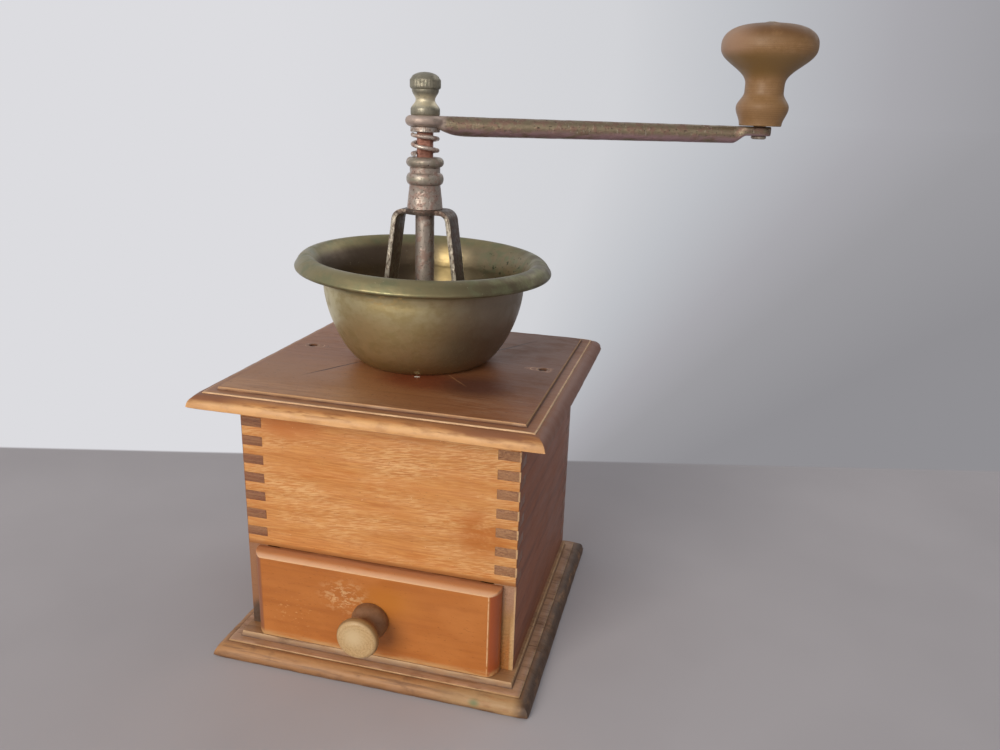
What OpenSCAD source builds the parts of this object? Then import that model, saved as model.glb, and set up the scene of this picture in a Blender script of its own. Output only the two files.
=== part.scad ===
// Antique box coffee mill: a finger jointed wooden case with moulded base and top boards, a drawer,
// an open brass hopper, a strap yoke with a turned bushing, a crank and a conical burr pair.
// Millimetres. The origin is on the shaft's axis at the underside of the base board.
// +Z is up, the drawer opens towards -Y, and +X is to the right of someone facing the drawer.

/* [Case] */
// Outer width of the case, across the drawer
case_w = 120; // [112:1:140]
// Outer depth of the case, front to back
case_d = 116; // [108:1:140]
// Thickness of the four case boards
board_t = 9.3; // [8:0.1:11]
// Height of one finger of the corner joints
finger_h = 4.2; // [3.6:0.1:5]
// Finger pairs in a front corner, which set the height of the front board
front_pairs = 8; // [7:1:10]
// Height of the drawer opening under the front board
bay_h = 40; // [36:1:50]

/* [Base and top boards] */
// Thickness of the base board
base_t = 8.8; // [8.4:0.1:12]
// Overhang of the base board at either side
base_side = 10.9; // [10:0.1:18]
// Overhang of the base board at the front
base_front = 17.1; // [14:0.1:24]
// Overhang of the base board at the back
base_back = 8.7; // [6:0.1:16]
// Drop from the base board's field to its moulded band
base_step = 2.6; // [1:0.1:3]
// Thickness of the top board
top_t = 7.2; // [7:0.1:10]
// Overhang of the top board at either side
top_side = 12.7; // [10:0.1:18]
// Overhang of the top board at the front
top_front = 19; // [14:0.1:24]
// Overhang of the top board at the back
top_back = 10.2; // [6:0.1:16]
// Drop from the top board's field to its moulded band
top_step = 1.3; // [0.8:0.1:1.5]
// Radius of the rounded outer edge of both boards
edge_r = 5; // [4:0.1:5.2]
// Width of the flat band between the rounded edge and the field
band_w = 4.3; // [3:0.1:5]
// Small drop from the band to the rounded edge
edge_quirk = 0.5; // [0.3:0.1:0.6]

/* [Drawer] */
// How far the drawer front stands out of the case
drawer_proud = 7.5; // [6:0.1:10]
// How far the front laps over the case at either end
drawer_lap = 4; // [3:0.1:6]
// How far the front's ends are rounded in towards its face
drawer_end_ease = 4; // [2:0.1:4.5]
// How far the front's top is rounded down towards its face
drawer_top_ease = 1.5; // [1:0.1:3]
// Straight edge of the front behind the rounding
drawer_land = 1.5; // [1:0.1:2]
// Thickness of the part of the front that fills the opening
drawer_plug_t = 6; // [5:0.5:10]
// Thickness of the drawer's sides and back
drawer_wall_t = 5; // [4:0.5:7]
// Thickness of the drawer's bottom
drawer_bottom_t = 3.5; // [3:0.5:6]
// Height of the drawer's sides and back
drawer_wall_h = 33; // [24:1:34]
// Room between the drawer and either side board
drawer_side_gap = 0.5; // [0.3:0.1:1]
// Room under and over the drawer
drawer_run_gap = 0.2; // [0.1:0.1:0.4]
// Room behind the drawer
drawer_back_gap = 1; // [0.5:0.5:3]
// Height of the drawer knob's axis above the base board
pull_h = 17.8; // [14:0.1:22]
// Length of the drawer knob in front of the drawer
pull_len = 15.8; // [14:0.1:20]
// Diameter of the drawer knob's head
pull_head_d = 18; // [16:0.5:22]
// Diameter of the drawer knob's neck
pull_neck_d = 10.5; // [8.5:0.5:13]
// Diameter of the drawer knob's foot
pull_foot_d = 16; // [14:0.5:18]
// Diameter of the drawer knob's glued tenon
pull_tenon_d = 7; // [5:0.5:8]

/* [Hopper bowl] */
// Height of the bowl, from the top board to the crest of the rim
bowl_h = 46.9; // [44:0.1:56]
// Radius of the bowl's flat floor
bowl_floor_r = 27; // [26.8:0.1:29]
// Outer radius of the bowl's wall under the rim
bowl_wall_r = 44; // [42:0.5:50]
// Height at which the bowl's wall stands upright
bowl_wall_h = 33; // [28:0.5:34]
// How full the curve from floor to wall is, 1 being an ellipse
bowl_fullness = 1.3; // [1:0.05:1.5]
// Half of the flared rim's reach beyond the bowl's wall
rim_r = 5.4; // [4:0.1:7]
// Half width of the lip rolled along the rim
lip_w = 2.2; // [2:0.1:3.5]
// Half height of the lip
lip_h = 4.3; // [3:0.1:6]
// Thickness of the brass sheet
bowl_t = 1.2; // [0.8:0.1:1.6]
// Diameter of the bean hole through bowl and top board
bean_hole_d = 34; // [30:0.5:36]

/* [Yoke and bushing] */
// Height of the yoke, from the bowl's floor to the top of the strap
yoke_h = 65.7; // [56:0.1:80]
// Width of the strap
strap_w = 12; // [10:0.5:14]
// Thickness of the strap
strap_t = 2; // [1.6:0.1:2.4]
// Half the width over the legs at the top
yoke_top_half = 12.7; // [12:0.1:15]
// Half the width over the legs at the feet
yoke_foot_half = 21.3; // [21:0.1:21.6]
// Bend radius of the strap's shoulders, at mid thickness
yoke_bend_r = 4; // [3:0.1:5]
// Diameter of the round boss in the middle of the strap
yoke_boss_d = 17.6; // [16.5:0.1:20]
// Diameter of the bolts through the feet
bolt_d = 3.2; // [3:0.1:3.4]
// Height of the bushing above the strap
bushing_h = 17.4; // [15:0.1:24]
// Diameter of the bushing's foot
bushing_foot_d = 15.3; // [14:0.1:16.4]
// Diameter of the bushing's neck
bushing_neck_d = 13.2; // [12:0.1:14]
// Diameter of the bead round the bushing
bushing_bead_d = 15.9; // [14.5:0.1:18]
// Height of the bead round the bushing
bushing_bead_h = 4.8; // [3:0.1:5.5]
// Diameter of the spring's seat ring
seat_d = 16; // [14.5:0.1:20]
// Height of the spring's seat ring
seat_h = 4.2; // [3:0.1:5.5]

/* [Shaft and nut] */
// Diameter of the shaft
shaft_d = 8.2; // [7.4:0.1:8.6]
// Width over the flats of the shaft's squared end
square_w = 6.6; // [5.6:0.1:7]
// Diameter over the corners of the squared end
square_corner_d = 7.8; // [7:0.1:8]
// Outer diameter of the thread for the top nut
thread_d = 6; // [4.5:0.1:6]
// Height of the top nut
nut_h = 17.1; // [15:0.1:22]
// Diameter of the top nut's knurled head
nut_head_d = 12.9; // [11:0.1:16]
// Diameter of the top nut's waist
nut_waist_d = 8.1; // [8:0.1:10]
// Diameter of the top nut's foot
nut_foot_d = 12.3; // [11:0.1:14]
// Grooves round the top nut's head
nut_knurls = 28; // [16:1:32]
// Radial room of shafts and pins that turn in their holes
run_gap = 0.05; // [0.02:0.01:0.1]
// How far the nut can raise the shaft from rest
lift_up = 1.25; // [0.5:0.05:2]
// How far the nut can lower the shaft from rest
lift_down = 2.5; // [1:0.1:3]

/* [Crank] */
// Distance from the shaft's axis to the grip's axis
crank_len = 140; // [110:1:170]
// Rest angle of the crank, from +X towards +Y
crank_angle = 14; // [-180:1:180]
// Diameter of the crank's eye
eye_d = 17; // [15:0.1:20]
// Height of the crank's eye
eye_h = 4.5; // [3.5:0.1:6]
// Diameter of the arm beside the eye
arm_d = 8.2; // [7:0.1:10]
// Diameter of the arm beside the tongue
arm_tip_d = 7; // [5.5:0.1:8]
// Thickness of the flat tongue
tongue_t = 3.8; // [3:0.1:5]
// Width of the flat tongue
tongue_w = 9.6; // [8:0.1:12]
// Length of the tongue before the grip's axis
tongue_len = 7; // [6:0.1:12]
// Length of the ramp from arm to tongue
ramp_len = 3.2; // [3:0.1:8]
// Diameter of the washer under the eye
washer_d = 12.4; // [10.5:0.1:13.5]
// Height of the washer under the eye
washer_h = 2.2; // [1.5:0.1:4]

/* [Spring] */
// Height of the space that the spring fills
spring_h = 10.2; // [9:0.1:16]
// Outer diameter of the spring
spring_d = 12.2; // [12:0.1:13]
// Diameter of the spring's wire
wire_d = 1.7; // [1.4:0.1:1.8]
// Turns of the spring
spring_turns = 2.05; // [1.6:0.05:2.3]
// Share by which the end turns are flatter than the middle
spring_close = 0.35; // [0:0.05:0.5]
// Room between the spring and what it pushes on
spring_gap = 0.3; // [0.2:0.05:0.4]

/* [Grip] */
// Height of the grip
grip_h = 39.5; // [34:0.5:52]
// Diameter of the grip's head
grip_head_d = 38.3; // [34:0.1:46]
// Height of the head's widest ring
grip_head_at = 31.2; // [28:0.1:33]
// Diameter of the grip's neck
grip_neck_d = 15.7; // [13:0.1:18]
// Height of the middle of the grip's neck
grip_neck_at = 14.5; // [14:0.1:20]
// Length of the straight part of the grip's neck
grip_neck_len = 2.2; // [1:0.1:4]
// Diameter of the grip's bead
grip_bead_d = 21.2; // [19:0.1:26]
// Height of the grip's bead
grip_bead_at = 7.3; // [6:0.1:10]
// Diameter of the grip's foot
grip_foot_d = 17.2; // [15:0.1:20]
// Diameter of the pin that the grip turns on
grip_pin_d = 5; // [4:0.1:6]
// Room between the grip and the tongue
grip_gap = 0.2; // [0.1:0.05:0.4]

/* [Burrs] */
// Radius of the ring burr's flange
flange_r = 29; // [28.5:0.1:32]
// Thickness of the ring burr's flange
flange_t = 3.2; // [2.5:0.1:5]
// Outer radius of the ring burr under its flange
ring_r = 19.8; // [19.2:0.1:20.2]
// Height of the ring burr
ring_h = 28; // [24:0.5:34]
// Radius of the ring burr's throat
throat_r = 12.5; // [11.5:0.1:13]
// Depth of the throat under the flange's top
throat_at = 13; // [11:0.1:15]
// Radius of the ring burr's outlet
outlet_r = 15.2; // [14.5:0.1:16]
// Radial room between the two burrs
burr_gap = 0.9; // [0.7:0.05:1.2]
// Fine teeth on each burr
fine_teeth = 18; // [12:1:20]
// Side of the square cutter that leaves the fine teeth
tooth_cut = 2; // [1.4:0.1:2.2]
// Lean of the teeth from upright
tooth_lean = 18; // [8:1:24]
// Feeding flutes on the cone's nose
feed_flutes = 4; // [3:1:5]
// Radius of the cutter that leaves the feeding flutes
flute_r = 3.4; // [2.5:0.1:3.8]
// Radius of the cone's nose
nose_r = 6.8; // [6:0.1:7.5]
// Height of the cone's nose above the flange's top
nose_rise = 4; // [2:0.5:8]
// Length of the hub under the cone
hub_len = 8; // [7:0.5:12]
// Radius of the hub under the cone
hub_r = 8; // [7:0.1:10]
// Diameter of the cross pin through the hub
cross_pin_d = 3; // [2:0.1:3.5]

/* [Hidden] */

$fn = 96;

// Colours as the photo shows them
AMBER_WOOD = "#b8793f";
RED_WOOD = "#8a5233";
ORANGE_WOOD = "#b5652c";
PALE_WOOD = "#c2a878";
GRIP_WOOD = "#9c7648";
OLD_BRASS = "#8d7c48";
NUT_BRASS = "#7d7859";
BROWN_IRON = "#6d5f58";
DARK_IRON = "#4d4744";
STEEL = "#8d8880";

// Least upright edge under the rounded edge of a moulded board
edge_foot = 0.2;

// Overlap by which a cut reaches past the face that it opens
past = 1;
// Room round nails and rivets, which sit tight
tight = 0.02;

// Levels of the case, from the floor up
front_h = 2 * finger_h * front_pairs;
case_h = front_h + bay_h;
case_top = base_t + case_h;
front_bottom = case_top - front_h;
deck = case_top + top_t;
inner_half = case_w / 2 - board_t;
case_front = -case_d / 2;
case_back = case_d / 2;
back_pairs = floor(case_h / (2 * finger_h));

// Levels of the running gear, from the bowl's floor up
bowl_floor = deck + bowl_t;
strap_top = bowl_floor + yoke_h;
bushing_top = strap_top + bushing_h;
seat_top = bushing_top + seat_h;
washer_bottom = seat_top + spring_h;
eye_bottom = washer_bottom + washer_h;
eye_top = eye_bottom + eye_h;
nut_top = eye_top + nut_h;
tongue_bottom = eye_top - tongue_t;
grip_bottom = eye_top + grip_gap;
bore_r = shaft_d / 2 + run_gap;

// Feet of the yoke and the bolts through them
foot_bend_r = 1.6;
foot_gap = 0.4;
foot_reach = bowl_floor_r - foot_gap;
bolt_at = (yoke_foot_half + foot_bend_r - strap_t / 2 + foot_reach) / 2;
bolt_head_d = foot_reach - yoke_foot_half - foot_bend_r + strap_t / 2;
bolt_head_h = 1.8;
nut_side = bolt_d * 1.7;
bolt_nut_h = 2.6;
bolt_tail = 1.2;
flange_bottom = case_top - flange_t;

// Spigot of the bushing, riveted into the strap
spigot_shoulder = 1.2;
spigot_d = bushing_neck_d - 2 * spigot_shoulder;

// Burrs hang from the underside of the top board
mouth_ledge = 0.5;
mouth_r = bean_hole_d / 2 - mouth_ledge;
throat_z = case_top - throat_at;
outlet_z = case_top - ring_h;
burr_slant = atan((outlet_r - throat_r) / (throat_z - outlet_z));
nose_z = case_top + nose_rise;
hub_z = outlet_z - hub_len;
cross_pin_z = hub_z + hub_len / 2;

// Nails and screws
nail_d = 1.8;
nail_head_d = 3.2;
nail_head_h = 1;
nail_len = 22;
screw_d = 3.4;
screw_head_d = 7;
screw_len = 26;
screw_inset = 18;
brad_d = 1.4;
brad_head_d = 2.6;
brad_head_h = 0.6;
brad_len = 13;

// Drawer, worked out from the opening that it fills
lap_half = inner_half + drawer_lap;
drawer_floor = base_t + drawer_run_gap;
drawer_top = front_bottom - drawer_run_gap;
drawer_half = inner_half - drawer_side_gap;
drawer_face = case_front - drawer_proud;
lap_back = case_front - drawer_run_gap;
plug_front = lap_back - drawer_land / 2;
plug_back = case_front + drawer_plug_t;
drawer_end = case_back - board_t - drawer_back_gap;
wall_top = drawer_floor + drawer_wall_h;
ease_depth = drawer_proud - drawer_land;
end_round = (pow(ease_depth, 2) + pow(drawer_end_ease, 2)) / (2 * drawer_end_ease);
top_round = (pow(ease_depth, 2) + pow(drawer_top_ease, 2)) / (2 * drawer_top_ease);
pull_z = base_t + pull_h;
pull_tenon_cover = 3;
pull_tenon_len = drawer_proud + drawer_plug_t - pull_tenon_cover;
pull_edge_r = 3.2;
pull_foot_edge = 1.6;
brad_over_bottom = 5;
brad_under_top = 6;
brad_levels = [drawer_floor + drawer_bottom_t + brad_over_bottom, wall_top - brad_under_top];
brad_rows = [(lap_back + plug_back) / 2, drawer_end - drawer_wall_t / 2];

// Points of an arc about c, with half axes rx and rz
function arc(c, rx, rz, a0, a1, n) = [
    for (i = [0 : n])
        let (a = a0 + (a1 - a0) * i / n)
        [c[0] + rx * cos(a), c[1] + rz * sin(a)]
];

// Points of a turned sweep from a towards b, upright at both ends
function turned(a, b, n) = [
    for (i = [0 : n - 1])
        let (t = i / n)
        [a[0] + (b[0] - a[0]) * (1 - cos(180 * t)) / 2, a[1] + (b[1] - a[1]) * t]
];

// The same with longer upright ends and a steeper middle
function swelled(a, b, n) = [
    for (i = [0 : n - 1])
        let (t = i / n)
        [a[0] + (b[0] - a[0]) * pow(t, 3) * (10 - 15 * t + 6 * t * t), a[1] + (b[1] - a[1]) * t]
];

// Points of a bowl's wall that leaves the floor level and ends upright
function bowl_wall(floor_r, wall_r, z0, z1, n) = [
    for (i = [0 : n])
        let (a = 90 * i / n)
        [
            floor_r + (wall_r - floor_r) * pow(sin(a), bowl_fullness),
            z0 + (z1 - z0) * (1 - pow(cos(a), bowl_fullness))
        ]
];

function unit(v) = v / norm(v);
function left_of(v) = [-v[1], v[0]];
function after_first(list) = [for (i = [1 : len(list) - 1]) list[i]];
function reversed(list) = [for (i = [len(list) - 1 : -1 : 0]) list[i]];

// Corners of a bent strip, moved sideways by s
function moved(p, s) = [
    for (i = [0 : len(p) - 1])
        let (
            before = max(i, 1),
            after = min(i + 1, len(p) - 1),
            a = left_of(unit(p[before] - p[before - 1])),
            b = left_of(unit(p[after] - p[after - 1]))
        )
        p[i] + (a + b) * s / (1 + a * b)
];

// A corner p between its neighbours a and b, rounded with radius r
function corner_arc(a, p, b, r, n) =
    let (
        u = unit(a - p),
        v = unit(b - p),
        half = acos(u * v) / 2,
        c = p + unit(u + v) * r / sin(half),
        from = p + u * r / tan(half) - c,
        turn = sign(u[1] * v[0] - u[0] * v[1]) * (180 - 2 * half),
        start = atan2(from[1], from[0])
    )
    arc(c, r, r, start, start + turn, n);

// Outline of a bent strip of thickness t; r holds the bend radius of each corner at mid thickness
function strip_side(p, r, s, n) =
    let (q = moved(p, s))
    [
        for (i = [0 : len(p) - 1])
            let (
                inner = i > 0 && i < len(p) - 1,
                d0 = inner ? p[i] - p[i - 1] : [1, 0],
                d1 = inner ? p[i + 1] - p[i] : [1, 0],
                way = sign(d0[0] * d1[1] - d0[1] * d1[0])
            )
            each inner ? corner_arc(q[i - 1], q[i], q[i + 1], r[i] - way * s, n) : [q[i]]
    ];
function strip(p, r, t, n) = concat(strip_side(p, r, t / 2, n), reversed(strip_side(p, r, -t / 2, n)));

// Edge section of a moulded board, half of it, with the board's width along x
module edge_section(half, t, step) {
    round_r = min(edge_r, t - step - edge_quirk - edge_foot);
    round_z = t - step - edge_quirk - round_r;
    band_half = half - round_r;
    translate([-band_half + band_w, 0])
        square([2 * (band_half - band_w), t]);
    translate([-band_half, 0])
        square([2 * band_half, t - step]);
    translate([-half, 0])
        square([2 * half, round_z]);
    for (s = [-1, 1])
        intersection() {
            translate([s * band_half, round_z])
                circle(round_r);
            translate([-half, 0])
                square([2 * half, t]);
        }
}

// A board with the moulding run round all four edges and mitred at the corners
module moulded_board(w, d, t, step) {
    intersection() {
        translate([0, d / 2, 0])
            rotate([90, 0, 0])
                linear_extrude(d)
                    edge_section(w / 2, t, step);
        translate([-w / 2, 0, 0])
            rotate([90, 0, 90])
                linear_extrude(w)
                    edge_section(d / 2, t, step);
    }
}

// Fingers at both ends of a front or back board, from y0 to y1; the side boards hold the places
// between them. They start inside the board that carries them and reach out past the corner by reach.
module fingers(y0, y1, pairs, reach) {
    for (x = [-case_w / 2 - reach, inner_half - past], k = [0 : pairs - 1])
        translate([x, y0, case_top - finger_h * (2 * k + 2)])
            cube([board_t + past + reach, y1 - y0, finger_h]);
}

module front_fingers(reach) {
    fingers(case_front - reach, case_front + board_t, front_pairs, reach);
}

module back_fingers(reach) {
    fingers(case_back - board_t, case_back + reach, back_pairs, reach);
}

// A ring with a full round outer edge
module round_ring(r, h, hole_r) {
    rotate_extrude()
        difference() {
            union() {
                square([r - h / 2, h]);
                translate([r - h / 2, h / 2])
                    circle(h / 2);
            }
            if (hole_r > 0)
                translate([0, -past])
                    square([hole_r, h + 2 * past]);
        }
}

// A nail that hangs down from its head's flat top
module nail(head_d, head_h, shank_d, len, room) {
    translate([0, 0, -head_h - room])
        cylinder(h = head_h + room, d = head_d + 2 * room);
    translate([0, 0, -len - room])
        cylinder(h = len - head_h, d = shank_d + 2 * room);
}

module top_nail_set(room) {
    for (s = [-1, 1])
        translate([s * (case_w - board_t) / 2, 0, deck])
            nail(nail_head_d, nail_head_h, nail_d, nail_len, room);
}

module base_screw_set(room) {
    for (s = [-1, 1], y = [case_front + screw_inset, case_back - screw_inset])
        translate([s * (case_w - board_t) / 2, y, 0]) {
            cylinder(h = (screw_head_d - screw_d) / 2, d1 = screw_head_d + 2 * room, d2 = screw_d + 2 * room);
            cylinder(h = screw_len + room, d = screw_d + 2 * room);
        }
}

module brad_set(room) {
    for (s = [-1, 1], y = brad_rows, z = brad_levels)
        translate([s * drawer_half, y, z])
            rotate([0, s * 90, 0])
                nail(brad_head_d, brad_head_h, brad_d, brad_len, room);
}

module bolt_places() {
    for (s = [-1, 1])
        translate([s * bolt_at, 0, 0])
            children();
}

module bolt_holes(z0, z1) {
    bolt_places()
        translate([0, 0, z0])
            cylinder(h = z1 - z0, d = bolt_d + 2 * tight);
}

module base_board() {
    color(PALE_WOOD)
        difference() {
            translate([0, (base_back - base_front) / 2, 0])
                moulded_board(case_w + 2 * base_side, case_d + base_front + base_back, base_t, base_step);
            base_screw_set(tight);
        }
}

module side_board(s) {
    color(RED_WOOD)
        difference() {
            translate([s > 0 ? inner_half : -case_w / 2, case_front, base_t])
                cube([board_t, case_d, case_h]);
            front_fingers(past);
            back_fingers(past);
            top_nail_set(tight);
            base_screw_set(tight);
        }
}

module left_side_board() {
    side_board(-1);
}

module right_side_board() {
    side_board(1);
}

module front_board() {
    color(AMBER_WOOD) {
        translate([-inner_half, case_front, front_bottom])
            cube([2 * inner_half, board_t, front_h]);
        front_fingers(0);
    }
}

module back_board() {
    color(AMBER_WOOD) {
        translate([-inner_half, case_back - board_t, base_t])
            cube([2 * inner_half, board_t, case_h]);
        back_fingers(0);
    }
}

module top_board() {
    color(RED_WOOD)
        difference() {
            translate([0, (top_back - top_front) / 2, case_top])
                moulded_board(case_w + 2 * top_side, case_d + top_front + top_back, top_t, top_step);
            translate([0, 0, case_top - past])
                cylinder(h = top_t + 2 * past, d = bean_hole_d);
            bolt_holes(case_top - past, deck + past);
            top_nail_set(tight);
        }
}

module top_nails() {
    color(DARK_IRON)
        top_nail_set(0);
}

module base_screws() {
    color(DARK_IRON)
        base_screw_set(0);
}

// Spun bowl: flat floor, full wall, a rim flared outwards and its edge rolled down to a lip
module hopper_bowl() {
    lip_curl = 40;
    crest = deck + bowl_h;
    lip_c = [bowl_wall_r + bowl_t + 2 * rim_r - lip_w, crest - lip_h];
    flare_c = [lip_c[0], deck + bowl_wall_h];
    flare_h = crest - flare_c[1];
    flare_w = flare_c[0] - bowl_wall_r;
    outside = bowl_wall(bowl_floor_r, bowl_wall_r, deck, deck + bowl_wall_h, 12);
    inside = bowl_wall(bowl_floor_r, bowl_wall_r - bowl_t, bowl_floor, deck + bowl_wall_h, 12);
    under_flare = arc(flare_c, flare_w, flare_h - bowl_t, 180, 90, 8);
    under_lip = arc(lip_c, lip_w - bowl_t, lip_h - bowl_t, 90, -lip_curl, 8);
    over_lip = arc(lip_c, lip_w, lip_h, -lip_curl, 90, 10);
    over_flare = arc(flare_c, flare_w + bowl_t, flare_h, 90, 180, 10);
    color(OLD_BRASS)
        difference() {
            rotate_extrude()
                polygon(concat(
                    [[bean_hole_d / 2, deck]],
                    outside,
                    after_first(under_flare),
                    after_first(under_lip),
                    over_lip,
                    after_first(over_flare),
                    after_first(reversed(inside)),
                    [[bean_hole_d / 2, bowl_floor]]
                ));
            bolt_holes(deck - past, bowl_floor + past);
        }
}

// Strap bent into two legs with feet turned out, and a round boss for the bushing
module yoke() {
    top_z = strap_top - strap_t / 2;
    foot_z = bowl_floor + strap_t / 2;
    top_x = yoke_top_half - strap_t / 2;
    foot_x = yoke_foot_half - strap_t / 2;
    tip_x = foot_reach + past;
    line = [[-tip_x, foot_z], [-foot_x, foot_z], [-top_x, top_z], [top_x, top_z], [foot_x, foot_z],
            [tip_x, foot_z]];
    bends = [0, foot_bend_r, yoke_bend_r, yoke_bend_r, foot_bend_r, 0];
    color(BROWN_IRON)
        difference() {
            union() {
                intersection() {
                    translate([0, strap_w / 2, 0])
                        rotate([90, 0, 0])
                            linear_extrude(strap_w)
                                polygon(strip(line, bends, strap_t, 6));
                    translate([0, 0, bowl_floor - past])
                        cylinder(h = yoke_h + 2 * past, r = foot_reach);
                }
                translate([0, 0, strap_top - strap_t])
                    cylinder(h = strap_t, d = yoke_boss_d);
            }
            translate([0, 0, strap_top - strap_t - past])
                cylinder(h = strap_t + 2 * past, d = spigot_d + 2 * tight);
            bolt_holes(bowl_floor - past, bowl_floor + strap_t + past);
        }
}

module yoke_bolts() {
    color(STEEL)
        bolt_places() {
            translate([0, 0, bowl_floor + strap_t])
                rotate_extrude()
                    polygon(concat([[0, 0]], arc([0, 0], bolt_head_d / 2, bolt_head_h, 0, 90, 8)));
            translate([0, 0, flange_bottom - bolt_nut_h - bolt_tail])
                cylinder(h = bowl_floor + strap_t - flange_bottom + bolt_nut_h + bolt_tail, d = bolt_d);
        }
}

module yoke_nuts() {
    color(DARK_IRON)
        bolt_places()
            translate([0, 0, flange_bottom - bolt_nut_h])
                difference() {
                    translate([-nut_side / 2, -nut_side / 2, 0])
                        cube([nut_side, nut_side, bolt_nut_h]);
                    translate([0, 0, -past])
                        cylinder(h = bolt_nut_h + 2 * past, d = bolt_d + 2 * tight);
                }
}

// Turned bushing: spigot through the strap, tapered body, bead and neck
module shaft_bushing() {
    bead_drop = 2.4;
    bead_top = bushing_top - bead_drop;
    bead_bottom = bead_top - bushing_bead_h;
    body_r = bushing_neck_d / 2;
    bead = arc([body_r, (bead_top + bead_bottom) / 2], (bushing_bead_d - bushing_neck_d) / 2,
               bushing_bead_h / 2, -90, 90, 10);
    color(BROWN_IRON)
        rotate_extrude()
            polygon(concat(
                [[bore_r, strap_top - strap_t], [spigot_d / 2, strap_top - strap_t],
                 [spigot_d / 2, strap_top], [bushing_foot_d / 2, strap_top]],
                bead,
                [[body_r, bushing_top], [bore_r, bushing_top]]
            ));
}

module spring_seat_ring() {
    color(BROWN_IRON)
        translate([0, 0, bushing_top])
            round_ring(seat_d / 2, seat_h, bore_r);
}

// One leaning cutter for a tooth, square on edge, along a cone's slant at radius r and height z
module tooth_cutter(r, z, slant, lean, side, len) {
    translate([r, 0, z])
        rotate([lean, 0, 0])
            rotate([0, -slant, 0])
                rotate([0, 0, 45])
                    cube([side, side, len], center = true);
}

// Fixed burr: bolted flange, funnel mouth and a toothed outlet that widens downwards
module ring_burr() {
    mid_z = (throat_z + outlet_z) / 2;
    mid_r = (throat_r + outlet_r) / 2;
    color(DARK_IRON)
        difference() {
            rotate_extrude()
                polygon([
                    [mouth_r, case_top], [flange_r, case_top], [flange_r, flange_bottom],
                    [ring_r, flange_bottom], [ring_r, outlet_z], [outlet_r, outlet_z],
                    [throat_r, throat_z]
                ]);
            for (i = [0 : fine_teeth - 1])
                rotate([0, 0, 360 * i / fine_teeth])
                    tooth_cutter(mid_r, mid_z, burr_slant, -tooth_lean, tooth_cut, 2 * ring_h);
            bolt_holes(flange_bottom - past, case_top + past);
        }
}

// Turning burr: fluted nose that draws the beans in, toothed skirt and a hub for the cross pin
module cone_burr() {
    mid_z = (throat_z + outlet_z) / 2;
    mid_r = (throat_r + outlet_r) / 2 - burr_gap;
    skirt_top_r = throat_r - burr_gap;
    flute_slant = atan((skirt_top_r - nose_r) / (nose_z - throat_z));
    color(DARK_IRON)
        difference() {
            rotate_extrude()
                polygon([
                    [shaft_d / 2 + tight, nose_z], [nose_r, nose_z], [skirt_top_r, throat_z],
                    [outlet_r - burr_gap, outlet_z], [hub_r, outlet_z], [hub_r, hub_z],
                    [shaft_d / 2 + tight, hub_z]
                ]);
            for (i = [0 : fine_teeth - 1])
                rotate([0, 0, 360 * i / fine_teeth])
                    tooth_cutter(mid_r, mid_z, burr_slant, tooth_lean, tooth_cut, ring_h);
            for (i = [0 : feed_flutes - 1])
                rotate([0, 0, 360 * i / feed_flutes])
                    translate([nose_r + flute_r, 0, nose_z])
                        rotate([2 * tooth_lean, 0, 0])
                            rotate([0, -flute_slant, 0])
                                cylinder(h = 2 * (nose_z - throat_z), r = flute_r, center = true);
            cross_pin(tight);
        }
}

module cross_pin(room) {
    translate([-hub_r - past, 0, cross_pin_z])
        rotate([0, 90, 0])
            cylinder(h = 2 * (hub_r + past), d = cross_pin_d + 2 * room);
}

module burr_pin() {
    color(STEEL)
        cross_pin(0);
}

// Shaft: round through the bushing, squared for the crank, threaded for the nut
module drive_shaft() {
    shaft_tail = 1;
    shaft_end = hub_z - shaft_tail;
    square_top = eye_top - lift_up - spring_gap;
    thread_top = eye_top + nut_h * 0.66;
    color(BROWN_IRON)
        difference() {
            union() {
                translate([0, 0, shaft_end])
                    cylinder(h = seat_top - shaft_end, d = shaft_d);
                intersection() {
                    translate([0, 0, seat_top - past])
                        cylinder(h = square_top - seat_top + past, d = square_corner_d);
                    rotate([0, 0, crank_angle])
                        translate([-square_w / 2, -square_w / 2, seat_top - past])
                            cube([square_w, square_w, square_top - seat_top + past]);
                }
                translate([0, 0, square_top - past])
                    cylinder(h = thread_top - square_top + past, d = thread_d);
            }
            cross_pin(tight);
        }
}

// Turns the crank's own frame, with the arm along +x, to its rest angle
module at_crank() {
    rotate([0, 0, crank_angle])
        children();
}

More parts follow.
